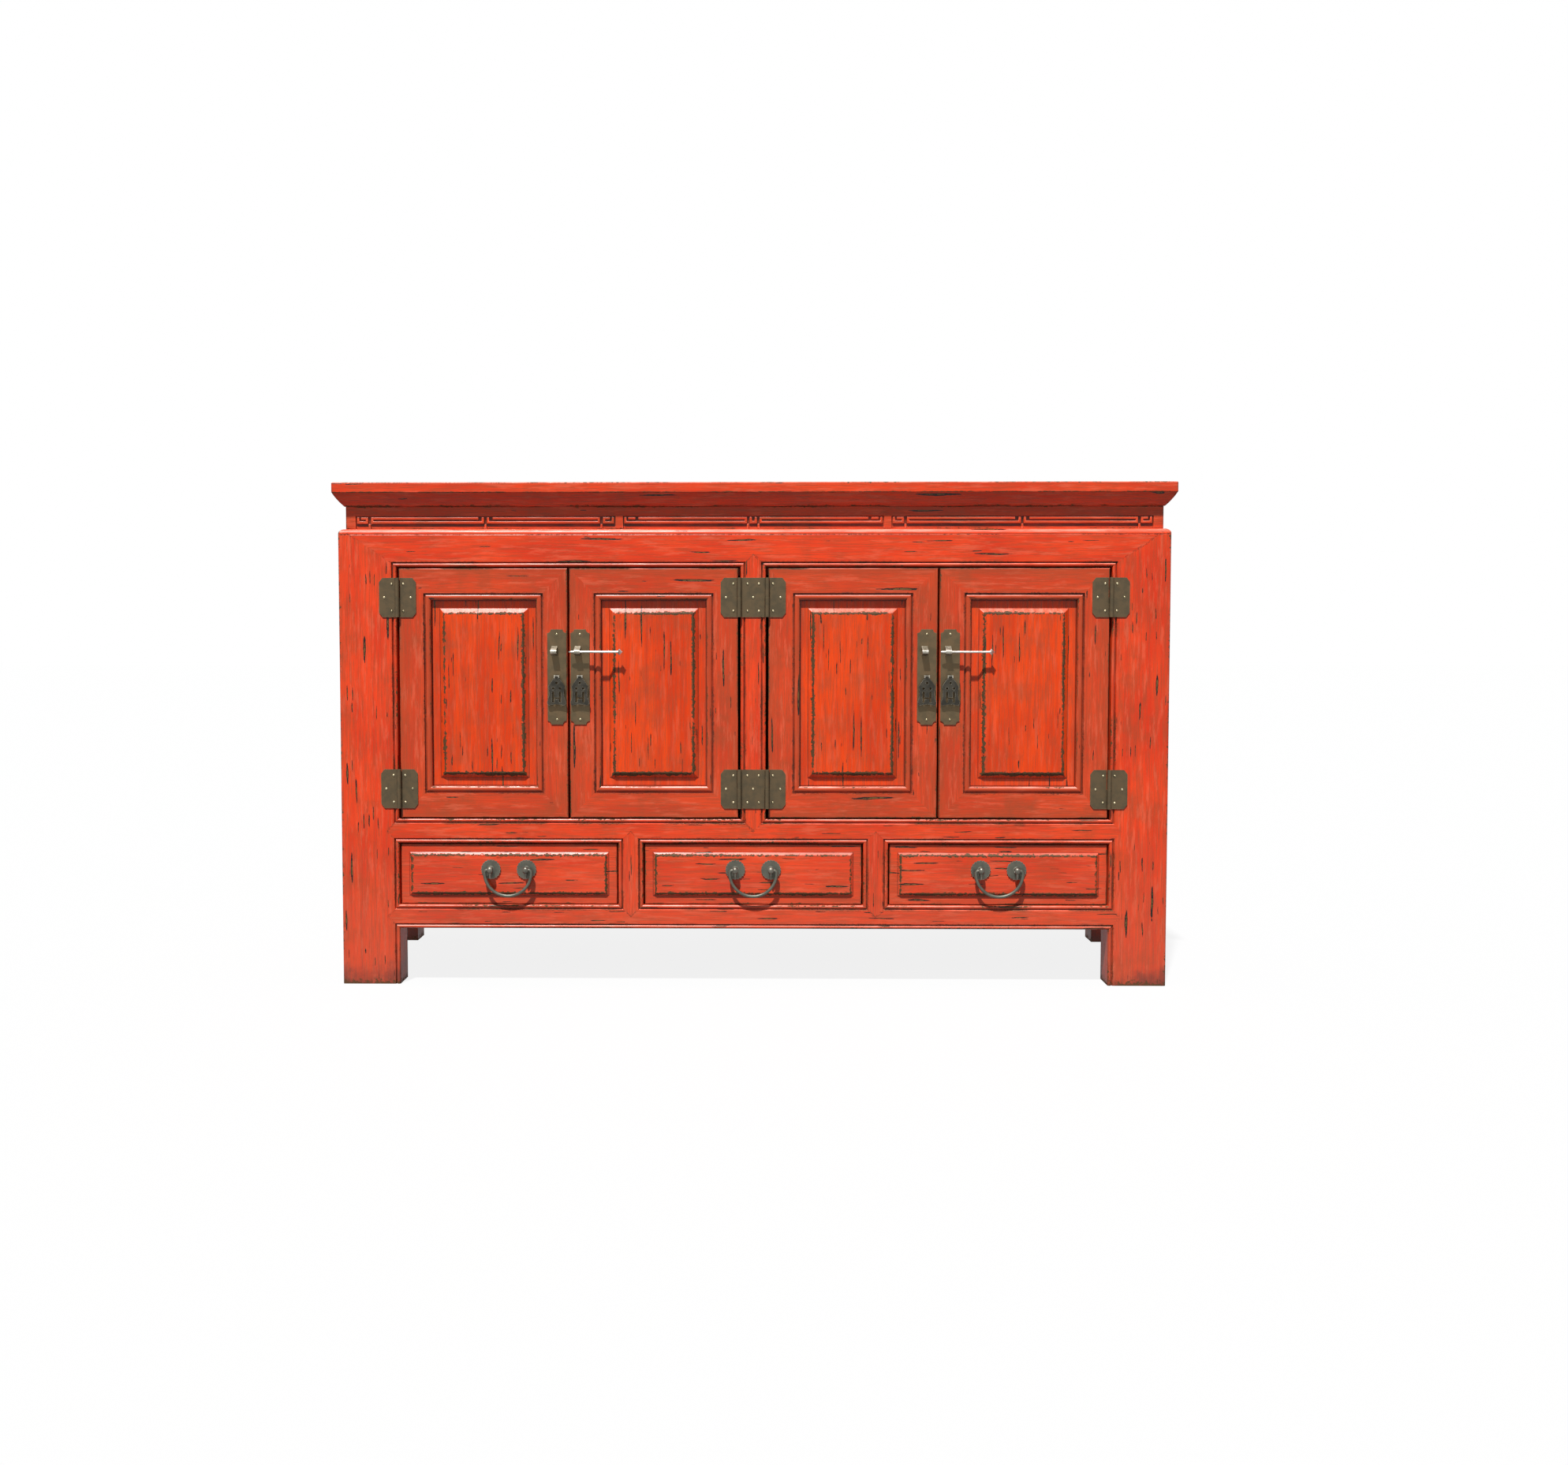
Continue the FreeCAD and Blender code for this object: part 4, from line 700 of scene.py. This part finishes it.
post_bronze = aged_metal("post_bronze", body=(0.17, 0.16, 0.13), blotch=(0.10, 0.095, 0.078),
                         rubbed_and_highlight=(0.62, 0.58, 0.50), rubbed_share=0.8, roughness=0.32, metallic=0.85)
strap_steel = aged_metal("strap_steel", body=(0.46, 0.43, 0.36), blotch=(0.26, 0.24, 0.19),
                         rubbed_and_highlight=(0.72, 0.68, 0.60), rubbed_share=0.6, roughness=0.30, metallic=0.9)
nail_brass = aged_metal("nail_brass", body=(0.46, 0.39, 0.25), blotch=(0.20, 0.17, 0.10),
                        rubbed_and_highlight=(0.66, 0.60, 0.44), rubbed_share=0.6, roughness=0.28, metallic=0.9)


def look_of(name, slot):
    """Materials, how a solid picks one of them, and the bevel, for one CAD node."""
    if slot == "plain_wood":
        return bare_woods, by_length, WOOD_BEVEL
    if slot == "pin_metal":
        return [steel], one_only, PLATE_BEVEL
    if slot == "dark_bronze":
        return [bronze, post_bronze], big_or_small(PULL_HALF_HEIGHT), PLATE_BEVEL
    if slot == "aged_brass":
        if name.endswith("nails"):
            return [nail_brass], one_only, PLATE_BEVEL
        if name.startswith("pendant"):
            return [drop_bronze], one_only, PLATE_BEVEL
        if name.endswith("lock_plate"):
            return [lock_brass, strap_steel], big_or_small(PLATE_HALF_HEIGHT), PLATE_BEVEL
        return [brass], one_only, PLATE_BEVEL
    kind = "_".join(word for word in name.split("_") if not word.isdigit())
    for start, (materials, bevel) in wood_kinds.items():
        if kind.startswith(start):
            return materials, by_length, bevel
    return plain_lacquer, by_length, WOOD_BEVEL


# Dresses every CAD node by the slot that the record gives it
for subpart in frame["record"]["subparts"]:
    materials, pick, bevel = look_of(subpart["node"], subpart["material_slot"])
    dressed(subpart["node"], materials, pick, bevel)


# Floor, sky, sun and camera
def white_to_camera(tree):
    """1 for the rays that should see a plain white background."""
    path = tree.nodes.new("ShaderNodeLightPath")
    total = path.outputs["Is Camera Ray"]
    for name in ("Is Glossy Ray", "Is Transmission Ray"):
        add = tree.nodes.new("ShaderNodeMath")
        add.operation = "ADD"
        add.use_clamp = True
        tree.links.new(total, add.inputs[0])
        tree.links.new(path.outputs[name], add.inputs[1])
        total = add.outputs[0]
    return total


def make_floor():
    size = FLOOR_HALF_SIZE
    corners = [(-size, -size, 0), (size, -size, 0), (size, size, 0), (-size, size, 0)]
    mesh = bpy.data.meshes.new("floor")
    mesh.from_pydata(corners, [], [(0, 1, 2, 3)])
    floor = bpy.data.objects.new("floor", mesh)
    bpy.context.scene.collection.objects.link(floor)
    material = bpy.data.materials.new("floor_pale")
    material.use_nodes = True
    tree = material.node_tree
    tree.nodes.clear()
    out = tree.nodes.new("ShaderNodeOutputMaterial")
    bounce = tree.nodes.new("ShaderNodeBsdfDiffuse")
    bounce.inputs["Color"].default_value = FLOOR_BOUNCE + (1.0,)
    shown = tree.nodes.new("ShaderNodeBsdfDiffuse")
    shown.inputs["Color"].default_value = FLOOR_COLOUR + (1.0,)
    glow = tree.nodes.new("ShaderNodeEmission")
    glow.inputs["Strength"].default_value = 1.0
    pale = tree.nodes.new("ShaderNodeMixShader")
    pale.inputs[0].default_value = FLOOR_WHITE_SHARE
    tree.links.new(shown.outputs[0], pale.inputs[1])
    tree.links.new(glow.outputs[0], pale.inputs[2])
    mix = tree.nodes.new("ShaderNodeMixShader")
    tree.links.new(white_to_camera(tree), mix.inputs[0])
    tree.links.new(bounce.outputs[0], mix.inputs[1])
    tree.links.new(pale.outputs[0], mix.inputs[2])
    tree.links.new(mix.outputs[0], out.inputs["Surface"])
    mesh.materials.append(material)


def make_sky():
    world = bpy.data.worlds.new("sky")
    world.use_nodes = True
    bpy.context.scene.world = world
    tree = world.node_tree
    tree.nodes.clear()
    out = tree.nodes.new("ShaderNodeOutputWorld")
    soft = tree.nodes.new("ShaderNodeBackground")
    soft.inputs["Color"].default_value = WHITE
    soft.inputs["Strength"].default_value = SKY_STRENGTH
    white = tree.nodes.new("ShaderNodeBackground")
    white.inputs["Color"].default_value = WHITE
    white.inputs["Strength"].default_value = 1.0
    mix = tree.nodes.new("ShaderNodeMixShader")
    tree.links.new(white_to_camera(tree), mix.inputs[0])
    tree.links.new(soft.outputs[0], mix.inputs[1])
    tree.links.new(white.outputs[0], mix.inputs[2])
    tree.links.new(mix.outputs[0], out.inputs["Surface"])


def make_sun():
    light = bpy.data.lights.new("key", "SUN")
    light.energy = SUN_STRENGTH
    light.angle = math.radians(SUN_ANGLE)
    lamp = bpy.data.objects.new("key", light)
    lamp.rotation_euler = Vector(SUN_TRAVEL).to_track_quat("-Z", "Y").to_euler()
    bpy.context.scene.collection.objects.link(lamp)


def make_camera():
    data = bpy.data.cameras.new("camera")
    data.sensor_fit = "HORIZONTAL"
    data.sensor_width = SENSOR
    data.lens = CAMERA_FOCAL_PX / PHOTO_WIDTH * SENSOR
    data.shift_x = CAMERA_SHIFT_PX[0] / PHOTO_WIDTH
    data.shift_y = CAMERA_SHIFT_PX[1] / PHOTO_WIDTH
    data.clip_start = CAMERA_CLIP[0]
    data.clip_end = CAMERA_CLIP[1]
    camera = bpy.data.objects.new("camera", data)
    camera.location = CAMERA_PLACE
    camera.rotation_euler = (math.radians(90 + CAMERA_PITCH), 0.0, math.radians(CAMERA_YAW))
    bpy.context.scene.collection.objects.link(camera)
    bpy.context.scene.camera = camera


make_floor()
make_sky()
make_sun()
make_camera()
bpy.context.scene.view_settings.view_transform = "Standard"
